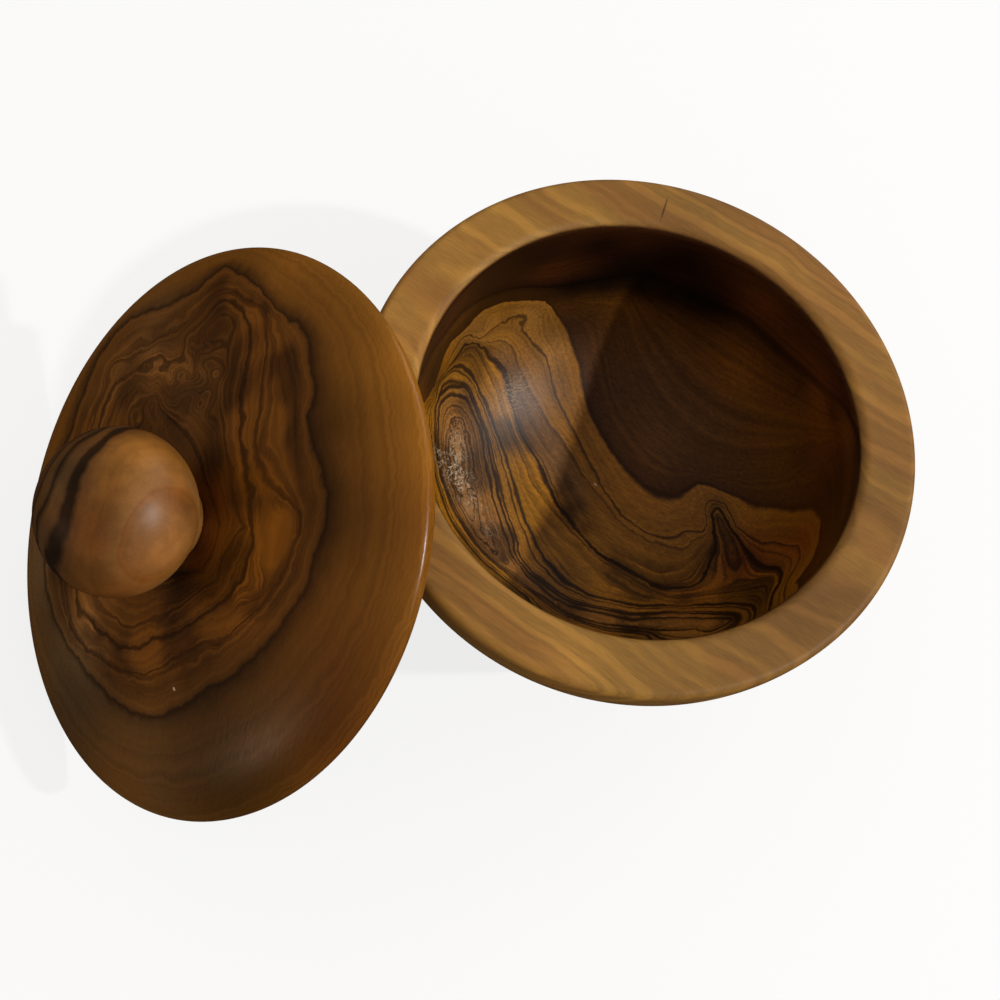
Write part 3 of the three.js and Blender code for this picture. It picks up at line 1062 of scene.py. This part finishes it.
# %% [markdown]
# A layer shows as a dark line where the surface cuts it. A line drawn by age alone would swell to a
# blot where the surface runs along a layer. So a line is drawn by its distance in millimetres, the
# difference in age divided by the pace, and it wanders and changes its width as it goes. Thinner
# lines that nobody followed come and go between the followed ones.

# %% Lines of the figure
LINE_CORE, LINE_END = 0.2, 0.75
THIN_LINE_CORE, THIN_LINE_END = 0.15, 0.8
LEAST_CROWDED, MOST_CROWDED = 0.4, 1.1
PATCHES_PER_METRE = 75.0
PATCHES_BEGIN, PATCHES_FULL = 0.42, 0.62
MARK_CORE, MARK_END = 0.6, 1.2


def wandering(age, pace, where, steps):
    """An age whose lines wander, by (features per metre, sway in mm) for each step."""
    for per_metre, sway in steps:
        age = age + (noise(where, per_metre) - 0.5) * pace * (2 * sway * MM)
    return age


def distance_in_layers(value, middle, pace):
    """How far away, in metres, a value that changes at that pace is the middle one."""
    return maths("ABSOLUTE", value - middle) / pace


def followed_lines(age, pace, lines):
    """What the lines leave of the light; each is an age, a width in mm and a darkness."""
    left = 1.0
    for line_age, width, darkness in lines:
        away = distance_in_layers(age, line_age, pace)
        left = between(away, LINE_CORE * width * MM, LINE_END * width * MM, 1 - darkness, 1.0) * left
    return left


def thin_lines(age, pace, where, lines):
    """What thin lines in between leave of the light; each kind is a number per year, a width in mm
    and a darkness. They show where a broad noise is high, and fade where they would crowd together."""
    seen = between(noise(where, PATCHES_PER_METRE, detail=1.0), PATCHES_BEGIN, PATCHES_FULL)
    left = 1.0
    for per_year, width, darkness in lines:
        rate = pace * per_year
        away = distance_in_layers(layer_noise(age, per_year, detail=1.0), 0.5, rate)
        line = between(away, THIN_LINE_CORE * width * MM, THIN_LINE_END * width * MM, darkness, 0.0)
        apart = between(rate, LEAST_CROWDED / width / MM, MOST_CROWDED / width / MM, 1.0, 0.0)
        left = (1.0 - line * seen * apart) * left
    return left


def kept_within(factor, amount):
    """A factor that holds where the amount is 1, and is 1 where the amount is 0."""
    return (factor - 1.0) * amount + 1.0


def mark(where, surface, start, end, width):
    """1 on a thin mark laid on a surface from one pixel to another, and 0 beside it."""
    first, last = laid_on(surface, start), laid_on(surface, end)
    turn = (last - first).to_track_quat("X", "Z").to_euler()
    size = ((last - first).length / 2, width * MM / 2, width * MM / 2)
    near = field(where.tree, "ShaderNodeVectorMath", {
        0: along_grain(where, turn, size, (first + last) / 2)}, "Value", operation="LENGTH")
    return between(near, MARK_CORE, MARK_END, 1.0, 0.0)


def fibres(where, turn, size):
    """Short fibres along the grain, from 0 to 1."""
    return noise(along_grain(where, turn, size), 1.0, detail=3.0, roughness=0.6)


print("a followed line 0.5 mm wide fades out", LINE_END * 0.5, "mm from its middle")

# %% [markdown]
# The ring and the outside are honey sapwood. The block was cut from a branch that lay level, so
# its rings are long tubes round the pith: they draw stripes along the branch on the flat ring,
# and rounds on the two sides where the branch was sawn through. Short dark fibres lie along it.
# Low inside is the branch's own small heart, with a dark rim.
# Broad lighter and darker places on the flat ring are its tone with painted sheen of the grain.

# %% The jar's sapwood
HONEY_YELLOW = screen(161, 116, 48)
HONEY_PINK = screen(148, 101, 43)
HEART_BROWN = screen(60, 34, 14)
HEART_TAN = screen(112, 72, 30)
PITH_TURN = (0, 0, math.radians(-46.7))
PITH_PLACE = Vector((0, 0, 16)) * MM
FIBRE_SIZE = (2.6 * MM, 0.26 * MM, 0.26 * MM)
BROAD_SIZE = (40 * MM, 7 * MM, 7 * MM)
PALE_SIZE = (7 * MM, 0.5 * MM, 0.5 * MM)
RINGS_PER_METRE = 420.0
RINGS_SWAY = 5 * MM
SWAYS_PER_METRE = 45.0
GROWTH_LINE_AT = 0.47
HEART_RADIUS = 16 * MM
HEART_EDGE = 0.5 * MM
HEART_BULGE = 26 * MM
BULGES_PER_METRE = 55.0
HEART_RINGS_PER_METRE = 520.0


def small_heart(where, from_pith, honey):
    """The sapwood's colour with the branch's heart in it, and the dark rim round that."""
    reach = from_pith + (noise(where, BULGES_PER_METRE, detail=3.0) - 0.5) * HEART_BULGE
    inside = between(reach, HEART_RADIUS - HEART_EDGE, HEART_RADIUS + HEART_EDGE, 1.0, 0.0)
    rim = between(distance_in_layers(reach, HEART_RADIUS, 1.0), 0.2 * MM, 1.6 * MM, 0.55, 1.0)
    rings = between(layer_noise(reach, HEART_RINGS_PER_METRE, detail=3.0), 0.4, 0.52)
    return shaded(mixed(inside, honey, mixed(rings, HEART_BROWN, HEART_TAN)), rim)


def sapwood(where):
    """Colour of the honey sapwood with its rings and fibres."""
    tree = where.tree
    _, across, upward = parts(along_grain(where, PITH_TURN, (1, 1, 1), PITH_PLACE))
    sway = noise(where, SWAYS_PER_METRE) * RINGS_SWAY
    from_pith = maths("SQRT", across * across + upward * upward) + sway
    rings = layer_noise(from_pith, RINGS_PER_METRE, detail=1.5)
    broad = noise(along_grain(where, PITH_TURN, BROAD_SIZE), 1.0)
    pinkish = maths("MAXIMUM", between(broad, *MIDDLE_NOISE), attribute(tree, "ring_pink"))
    uneven = between(rings, *MOST_NOISE, -0.08, 0.06)
    fine = between(fibres(where, PITH_TURN, FIBRE_SIZE), *MOST_NOISE, -0.09, 0.08)
    from_line = distance_in_layers(rings, GROWTH_LINE_AT, RINGS_PER_METRE)
    growth = between(from_line, 0.05 * MM, 0.38 * MM, -0.18, 0.0)
    pale = between(fibres(where, PITH_TURN, PALE_SIZE), 0.56, 0.7, 0.0, 0.09)
    honey = shaded(mixed(pinkish, HONEY_YELLOW, HONEY_PINK), uneven + fine + growth + pale + 1.0)
    # The ring's spots are its tone with painted sheen of the grain.
    return small_heart(where, from_pith, scaled_in_doublings(honey, attribute(tree, "ring_tone_and_painted_sheen")))


print("the growth rings are about", round(1 / RINGS_PER_METRE / MM, 1), "mm apart")

# %% [markdown]
# The hollow goes into the old heart of the tree and shows its figure, age by age: each age has its
# own brown, and the lines, the streaks and the fibres take away light or give a little. The cell
# after it puts both woods together, with a small check in the ring and the wear in the hollow: pale
# scuffs round the eye, and fine scratches where fingers rub, painted pale as the glint that they
# give in the gloss.

# %% The jar's figured heart
LINE_BROWN = screen(30, 14, 5)
PINKISH = screen(122, 82, 42)
REDDISH = screen(134, 68, 14)
BEIGE = screen(150, 104, 50)
SCUFF_AND_GLINT_PALE = screen(200, 176, 146)
HOLLOW_FIBRE_SIZE = (3.5 * MM, 0.35 * MM, 0.35 * MM)
HOLLOW_SPECK = ((594, 483), (597, 486), 0.5)
HOLLOW_CURLINESS = 2.2
CROWDED_PACE = 480.0
CURLS_PER_METRE = 420.0
WIDTHS_PER_METRE = 130.0
DOTS_PER_METRE = 1700.0
HOLLOW_STREAKS_PER_YEAR = 5.0
HOLLOW_WANDER = ((90.0, 0.45), (300.0, 0.4), (1000.0, 0.2))
HOLLOW_LINES = (
    (1.0, 0.45, 0.7), (1.6, 0.35, 0.5), (2.4, 0.3, 0.6), (2.53, 0.75, 0.88), (3.0, 0.3, 0.55),
    (3.92, 0.7, 0.88), (4.4, 0.4, 0.75), (5.3, 0.5, 0.8), (5.6, 0.65, 0.9), (6.5, 0.3, 0.6),
    (7.3, 0.3, 0.7), (6.0, 0.65, 0.85), (7.0, 0.45, 0.75), (7.6, 0.4, 0.6))
HOLLOW_THIN_LINES = ((3.0, 0.3, 0.6), (9.0, 0.25, 0.5))
# The darkest stop, at age -4, follows the band under the mouth, where painted shade in the spots darkens
# it further.
HOLLOW_COLOURS = (
    (-8.0, screen(60, 29, 6)), (-4.4, screen(58, 27, 6)), (-4.0, screen(34, 15, 4)),
    (-3.3, screen(84, 47, 8)), (-2.0, screen(100, 59, 9)), (-1.0, screen(92, 53, 8)),
    (-0.3, screen(84, 47, 8)), (-0.05, screen(72, 39, 8)), (0.05, screen(144, 91, 12)),
    (0.95, screen(148, 94, 12)), (1.55, screen(145, 93, 14)), (1.65, screen(138, 88, 14)),
    (2.6, screen(155, 100, 12)), (3.9, screen(155, 101, 14)), (5.2, screen(150, 98, 26)),
    (7.0, screen(146, 98, 48)), (8.0, screen(152, 112, 70)))


def hollow_colour(age):
    """The heartwood's own colour at each age, with its pink, red and beige places."""
    tree = age.tree
    pink = attribute(tree, "pink") * between(age, 1.45, 1.6) * between(age, 2.42, 2.55, 1.0, 0.0)
    colour = mixed(pink, ramp(age, HOLLOW_COLOURS), PINKISH)
    colour = mixed(attribute(tree, "red"), colour, REDDISH)
    return mixed(attribute(tree, "beige") * between(age, -0.05, 0.05), colour, BEIGE)


def hollow_wood(where):
    """Colour of the figured heartwood in the hollow."""
    tree = where.tree
    pace = attribute(tree, "pace")
    curl = (noise(where, CURLS_PER_METRE, detail=3.0) - 0.5) * attribute(tree, "curl") * HOLLOW_CURLINESS
    age = wandering(attribute(tree, "age") + curl, pace, where, HOLLOW_WANDER)
    widths = between(noise(where, WIDTHS_PER_METRE), *MOST_NOISE, 0.6, 1.7)
    uneven = maths("MINIMUM", pace, CROWDED_PACE) * widths
    thin = kept_within(thin_lines(age, uneven, where, HOLLOW_THIN_LINES), between(age, 1.4, 2.6))
    streaks = between(layer_noise(age, HOLLOW_STREAKS_PER_YEAR, detail=4.0), *MOST_NOISE, 0.76, 1.22)
    fine = between(fibres(where, PITH_TURN, HOLLOW_FIBRE_SIZE), *MOST_NOISE, 0.8, 1.2)
    dots = between(noise(where, DOTS_PER_METRE, detail=3.0, roughness=0.7), *MOST_NOISE, 0.86, 1.14)
    fold = attribute(tree, "fold") * between(age, -0.15, 0.05, 1.0, 0.0)
    # The tone spots read here also carry painted shade under the mouth, painted light on the far wall and
    # a painted highlight on the mouth's rounding.
    plain = scaled_in_doublings(shaded(hollow_colour(age), streaks * fine * dots), attribute(tree, "tone_and_painted_light") - fold)
    lined = mixed(followed_lines(age, uneven, HOLLOW_LINES) * thin, LINE_BROWN, plain)
    return mixed(mark(where, jar_surface, *HOLLOW_SPECK), lined, SCUFF_AND_GLINT_PALE)


print("the figure in the hollow has", len(HOLLOW_LINES), "dark lines")

# %% The jar's finish
RING_CHECK = ((668, 197), (660, 222), 0.45)
RING_CHECK_DARKNESS = 0.6
SCUFFS_PER_METRE = 620.0
SPECKS_PER_METRE = 2200.0
SCRATCH_TURN = (0, 0, math.radians(11))
SCRATCH_SIZE = (5 * MM, 0.12 * MM, 0.12 * MM)
WORN_SHARE = 0.75
RING_ROUGHNESS = 0.5
HOLLOW_ROUGHNESS = 0.36
JAR_RELIEF = 0.03 * MM


def scuffs_and_scratch_glints(where):
    """Pale scuffs, and scratches painted pale as their glint in the gloss, in the hollow, from 0 to 1."""
    tree = where.tree
    patches = between(noise(where, SCUFFS_PER_METRE), 0.4, 0.56)
    specks = between(noise(where, SPECKS_PER_METRE, detail=3.0, roughness=0.7), 0.46, 0.6)
    scuffs = attribute(tree, "scuff") * patches * specks
    thin = between(fibres(where, SCRATCH_TURN, SCRATCH_SIZE), 0.5, 0.64)
    return maths("MAXIMUM", scuffs, attribute(tree, "scratch_glint") * thin) * WORN_SHARE


def finish_jar():
    here = places_on(jar_wood)
    inside = between(attribute(here.tree, "hollow"), 0.2, 0.8)
    check = mark(here, jar_surface, *RING_CHECK) * RING_CHECK_DARKNESS
    wood = mixed(inside, mixed(check, sapwood(here), LINE_BROWN), hollow_wood(here))
    # Wear, and the painted glint of the scratches in the gloss.
    wear_and_glint = scuffs_and_scratch_glints(here)
    fine = fibres(here, PITH_TURN, FIBRE_SIZE)
    roughness = between(inside, 0.0, 1.0, RING_ROUGHNESS, HOLLOW_ROUGHNESS) + fine * 0.14 + wear_and_glint * 0.3
    oiled(jar_wood, mixed(wear_and_glint, wood, SCUFF_AND_GLINT_PALE), roughness, fine, JAR_RELIEF)


finish_jar()

# %% [markdown]
# The lid was cut across a burl: brown sapwood with soft bands, and a heart with dark, wandering
# lines. A dark edge lies round the heart and fades outwards. Above the knob the layers curl so
# much that no line can be followed, so there the ages are stirred by a noise and their streaks
# are stronger.
# Grey on the left and low is painted: it stands for the pale room mirrored in the oil.

# %% The lid's wood
REFLECTION_GREY = screen(112, 83, 52)
LID_FIBRE_TURN = (0, 0, math.radians(60))
LID_FIBRE_SIZE = (2.5 * MM, 0.5 * MM, 2.5 * MM)
LID_SPECK = ((173, 687), (175, 691), 0.5)
LID_CURLINESS = 4.5
LID_CURLS_PER_METRE = 130.0
LID_WIDTHS_PER_METRE = 110.0
LID_STREAKS_PER_YEAR = 3.1
SWIRLS_PER_YEAR = 9.0
BANDS_PER_YEAR = 0.7
LID_ROUGHNESS = 0.22
LID_RELIEF = 0.02 * MM
LID_WANDER = ((60.0, 1.4), (220.0, 1.1), (600.0, 0.45))
LID_LINES = ((1.5, 0.8, 0.35), (2.5, 0.9, 0.45), (3.0, 0.9, 0.6), (4.0, 0.95, 0.65), (5.0, 0.9, 0.6),
             (6.3, 0.8, 0.5))
LID_THIN_LINES = ((1.9, 0.5, 0.4), (4.6, 0.35, 0.4), (9.0, 0.3, 0.35))
LID_COLOURS = (
    (-24.0, screen(132, 83, 22)), (-12.0, screen(132, 83, 21)), (-2.2, screen(122, 75, 16)),
    (-0.7, screen(88, 52, 12)), (-0.1, screen(58, 33, 9)), (0.3, screen(108, 64, 14)),
    (1.6, screen(120, 71, 15)), (3.0, screen(130, 76, 14)), (5.0, screen(126, 74, 15)),
    (7.0, screen(104, 62, 16)))


def lid_colour(age):
    """The lid's own colour at each age, with its red places, and the painted grey of the oil's
    reflection.
    """
    tree = age.tree
    colour = mixed(attribute(tree, "red"), ramp(age, LID_COLOURS), REDDISH)
    # The grey is a painted reflection of the room in the oil, weaker inside the heart.
    grey = attribute(tree, "grey") * between(age, -0.5, 0.3, 1.0, 0.6)
    before_the_edge = between(age, -0.9, -0.1, 1.0, 0.45)
    after_the_edge = between(age, -0.1, 0.3, 0.45, 1.0)
    reflected_grey_here = shaded(REFLECTION_GREY[:3], maths("MAXIMUM", before_the_edge, after_the_edge))
    return mixed(grey, colour, reflected_grey_here)


def lid_lines(age, pace, curly, where):
    """What the lid's lines leave of the light."""
    uneven = pace * between(noise(where, LID_WIDTHS_PER_METRE), *MOST_NOISE, 0.55, 1.8)
    thin = kept_within(thin_lines(age, uneven, where, LID_THIN_LINES), between(age, 0.2, 1.2))
    lines = followed_lines(age, uneven, LID_LINES) * thin
    return kept_within(lines, between(curly, 0.0, 0.9, 1.0, 0.75))


def lid_shade(age, curly, fine):
    """Streaks in the heart, swirls where it is curly, and soft bands in the sapwood."""
    streaks = between(layer_noise(age, LID_STREAKS_PER_YEAR), 0.32, 0.68, 0.78, 1.13)
    streaks = kept_within(streaks, between(age, -0.6, 0.4, 0.25, 1.0))
    swirls = between(layer_noise(age, SWIRLS_PER_YEAR), *MIDDLE_NOISE, 0.74, 1.2)
    swirls = kept_within(swirls, between(curly, 0.2, 0.8))
    bands = between(layer_noise(age, BANDS_PER_YEAR), *MIDDLE_NOISE, 0.86, 1.12)
    bands = kept_within(bands, between(age, -1.5, -0.5, 1.0, 0.0))
    return streaks * swirls * bands * between(fine, *MOST_NOISE, 0.955, 1.045)


def finish_lid():
    here = places_on(lid_wood)
    tree = here.tree
    pace, curly = attribute(tree, "pace"), attribute(tree, "curl")
    curl = (noise(here, LID_CURLS_PER_METRE, detail=1.0) - 0.5) * curly * LID_CURLINESS
    age = wandering(attribute(tree, "age") + curl, pace, here, LID_WANDER)
    fine = fibres(here, LID_FIBRE_TURN, LID_FIBRE_SIZE)
    # The tone spots read here also carry the knob's painted shadow beside it and painted sheen along the
    # right edge.
    plain = scaled_in_doublings(shaded(lid_colour(age), lid_shade(age, curly, fine)), attribute(tree, "tone_and_painted_light"))
    lined = mixed(lid_lines(age, pace, curly, here), LINE_BROWN, plain)
    colour = mixed(mark(here, lid_surface, *LID_SPECK), lined, SCUFF_AND_GLINT_PALE)
    oiled(lid_wood, colour, fine * 0.12 + LID_ROUGHNESS, fine, LID_RELIEF)


finish_lid()

# %% [markdown]
# The knob is the same wood, with two dark stripes on one side and rings round an eye on the other.
# The stripes come last, over the tints, so that no tint can wash them out.

# %% The knob's wood
KNOB_RIM_REFLECTION_GREY = screen(96, 72, 44)
KNOB_MOTTLES_PER_METRE = 190.0
KNOB_STRIPES_PER_YEAR = 1.6
KNOB_PORES_PER_METRE = 2600.0
KNOB_ROUGHNESS = 0.37
KNOB_RELIEF = 0.01 * MM
KNOB_WANDER = ((80.0, 1.2), (300.0, 0.6))
KNOB_COLOURS = (
    (-11.0, screen(146, 96, 48)), (-7.4, screen(142, 94, 46)), (-6.5, screen(137, 87, 36)),
    (-5.4, screen(148, 102, 50)), (-3.0, screen(126, 80, 26)), (-1.3, screen(120, 76, 25)),
    (-0.6, screen(112, 68, 22)), (0.5, screen(104, 65, 24)), (3.0, screen(108, 66, 23)))
KNOB_DARK_STRIPES = (
    (-1.3, 1.0), (-0.6, 0.85), (-0.26, 0.19), (0.18, 0.21), (0.38, 0.85), (0.72, 1.0), (1.0, 0.22),
    (1.25, 0.9), (1.6, 1.0), (1.85, 0.35), (2.05, 0.9), (3.0, 1.0))


def finish_knob():
    here = places_on(knob_wood)
    tree = here.tree
    age = wandering(attribute(tree, "age"), attribute(tree, "pace"), here, KNOB_WANDER)
    colour = mixed(attribute(tree, "red"), ramp(age, KNOB_COLOURS), REDDISH)
    # The grey on the knob's left rim is a painted reflection.
    colour = mixed(attribute(tree, "grey"), colour, KNOB_RIM_REFLECTION_GREY)
    colour = mixed(1.0, colour, ramp(age, KNOB_DARK_STRIPES), "MULTIPLY")
    mottles = noise(here, KNOB_MOTTLES_PER_METRE, detail=3.0, roughness=0.6)
    mottled = between(mottles, *MIDDLE_NOISE, 0.86, 1.13)
    stripes = between(layer_noise(age, KNOB_STRIPES_PER_YEAR), *MIDDLE_NOISE, 0.94, 1.04)
    pores = noise(here, KNOB_PORES_PER_METRE)
    shade = stripes * mottled * between(pores, *MOST_NOISE, 0.96, 1.04)
    colour = scaled_in_doublings(shaded(colour, shade), attribute(tree, "tone_and_painted_light"))
    oiled(knob_wood, colour, pores * 0.1 + KNOB_ROUGHNESS, pores, KNOB_RELIEF)


finish_knob()

# %% [markdown]
# The jar stands on a plain pale floor. For the camera the floor is mostly its own white, so that
# the picture's background is white, but a part of it still answers the lamps and keeps a shadow.
# The room where the photograph was taken was dark above the table, because the oil mirrors the
# lamps and little else: so what the wood mirrors of the floor and the room is only a small share
# of the light that falls on it.

# %% Floor
FLOOR_HALF = 1.5
FLOOR_HEIGHT = -0.01 * MM
FLOOR_OWN_WHITE = 0.8
FLOOR_FOR_THE_CAMERA = (0.9, 0.9, 0.9, 1.0)
FLOOR_FOR_BOUNCES = (0.35, 0.32, 0.28)
MIRRORED_SHARE = 0.08


def light_path(tree, question):
    """1 where the answer to a question about the light's path is yes, and 0 where it is no."""
    return field(tree, "ShaderNodeLightPath", output=question)


def reflected_share(tree):
    """1 for light that falls on the wood, and the small share for what the oil mirrors."""
    return between(light_path(tree, "Is Glossy Ray"), 0.0, 1.0, 1.0, MIRRORED_SHARE)


def paint_floor(material):
    tree = emptied(material)
    seen = light_path(tree, "Is Camera Ray")
    bounced = shaded(FLOOR_FOR_BOUNCES, reflected_share(tree))
    lit = field(tree, "ShaderNodeBsdfDiffuse", {"Color": mixed(seen, bounced, FLOOR_FOR_THE_CAMERA)})
    own = field(tree, "ShaderNodeEmission")
    both = field(tree, "ShaderNodeMixShader", {0: seen * FLOOR_OWN_WHITE, 1: lit, 2: own})
    place(tree, "ShaderNodeOutputMaterial", {"Surface": both})


def make_floor():
    mesh = bpy.data.meshes.new("floor")
    sides = ((-1, -1), (1, -1), (1, 1), (-1, 1))
    corners = [(x * FLOOR_HALF, y * FLOOR_HALF, FLOOR_HEIGHT) for x, y in sides]
    mesh.from_pydata(corners, [], [(0, 1, 2, 3)])
    mesh.materials.append(bpy.data.materials.new("pale_floor"))
    paint_floor(mesh.materials[0])
    floor = bpy.data.objects.new("floor", mesh)
    scene.collection.objects.link(floor)
    return floor


floor = make_floor()
print("the floor is", 2 * FLOOR_HALF, "m wide")

# %% [markdown]
# The edge of the shadow in the hollow tells where the main light stood: on the right of the
# picture, about 40 degrees up, and small. A wide soft panel, lower and to the upper right, and the
# pale room give the rest, and a small warm window, low on the left, puts the short highlight on
# the lid's lower edge. Each lamp's power is worked out from the level that it gives a white card
# facing it.

# %% Lights
WHITE = (1.0, 1.0, 1.0)
ROOM_LEVEL = 0.54
ROOM_COLOUR = (1.0, 0.93, 0.82, 1.0)
MOUTH_CENTRE = Vector((0, 0, 45)) * MM
LAMPS = {
    "key": {"towards": (0.627, -0.423, 0.655), "distance": 1.5, "size": 0.045, "level": 0.57},
    "panel": {"towards": (0.75, 0.5, 0.43), "distance": 1.0, "size": 0.7, "level": 0.2},
    "window": {"towards": (-0.98, -0.13, 0.10), "distance": 1.2, "size": 0.1, "level": 0.028,
               "colour": (1.0, 0.65, 0.4)},
}


def make_lamp(name, towards, distance, size, level, colour=WHITE):
    """A square lamp that gives a white card at the mouth that level, where 1 is white."""
    data = bpy.data.lights.new(name, "AREA")
    data.shape = "SQUARE"
    data.size = size
    data.color = colour
    data.energy = level * math.pi ** 2 * distance ** 2
    lamp = bpy.data.objects.new(name, data)
    direction = Vector(towards).normalized()
    lamp.matrix_world = (Matrix.Translation(MOUTH_CENTRE + direction * distance)
                         @ direction.to_track_quat("Z", "Y").to_matrix().to_4x4())
    scene.collection.objects.link(lamp)
    print(name, "lamp has", round(data.energy, 2), "watts")


def make_room():
    scene.world = bpy.data.worlds.new("room")
    tree = emptied(scene.world)
    seen = light_path(tree, "Is Camera Ray")
    back = field(tree, "ShaderNodeBackground", {
        "Color": mixed(seen, ROOM_COLOUR, (*WHITE, 1.0)),
        "Strength": maths("MAXIMUM", reflected_share(tree) * ROOM_LEVEL, seen)})
    place(tree, "ShaderNodeOutputWorld", {"Surface": back})


for name, settings in LAMPS.items():
    make_lamp(name, **settings)
make_room()
scene.view_settings.view_transform = "Standard"

# %% [markdown]
# Last, each piece stands in for its imported part, and rides on that part's body. The knob rides
# with the lid that it is glued into.

# %% Hand the pieces over
for piece, node, body, slot in ((jar, "jar_body", "jar", "jar_wood"), (lid, "lid", "lid", "lid_wood"),
                                (knob, "knob", "lid", "knob_wood")):
    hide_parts(node)
    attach(piece, body)
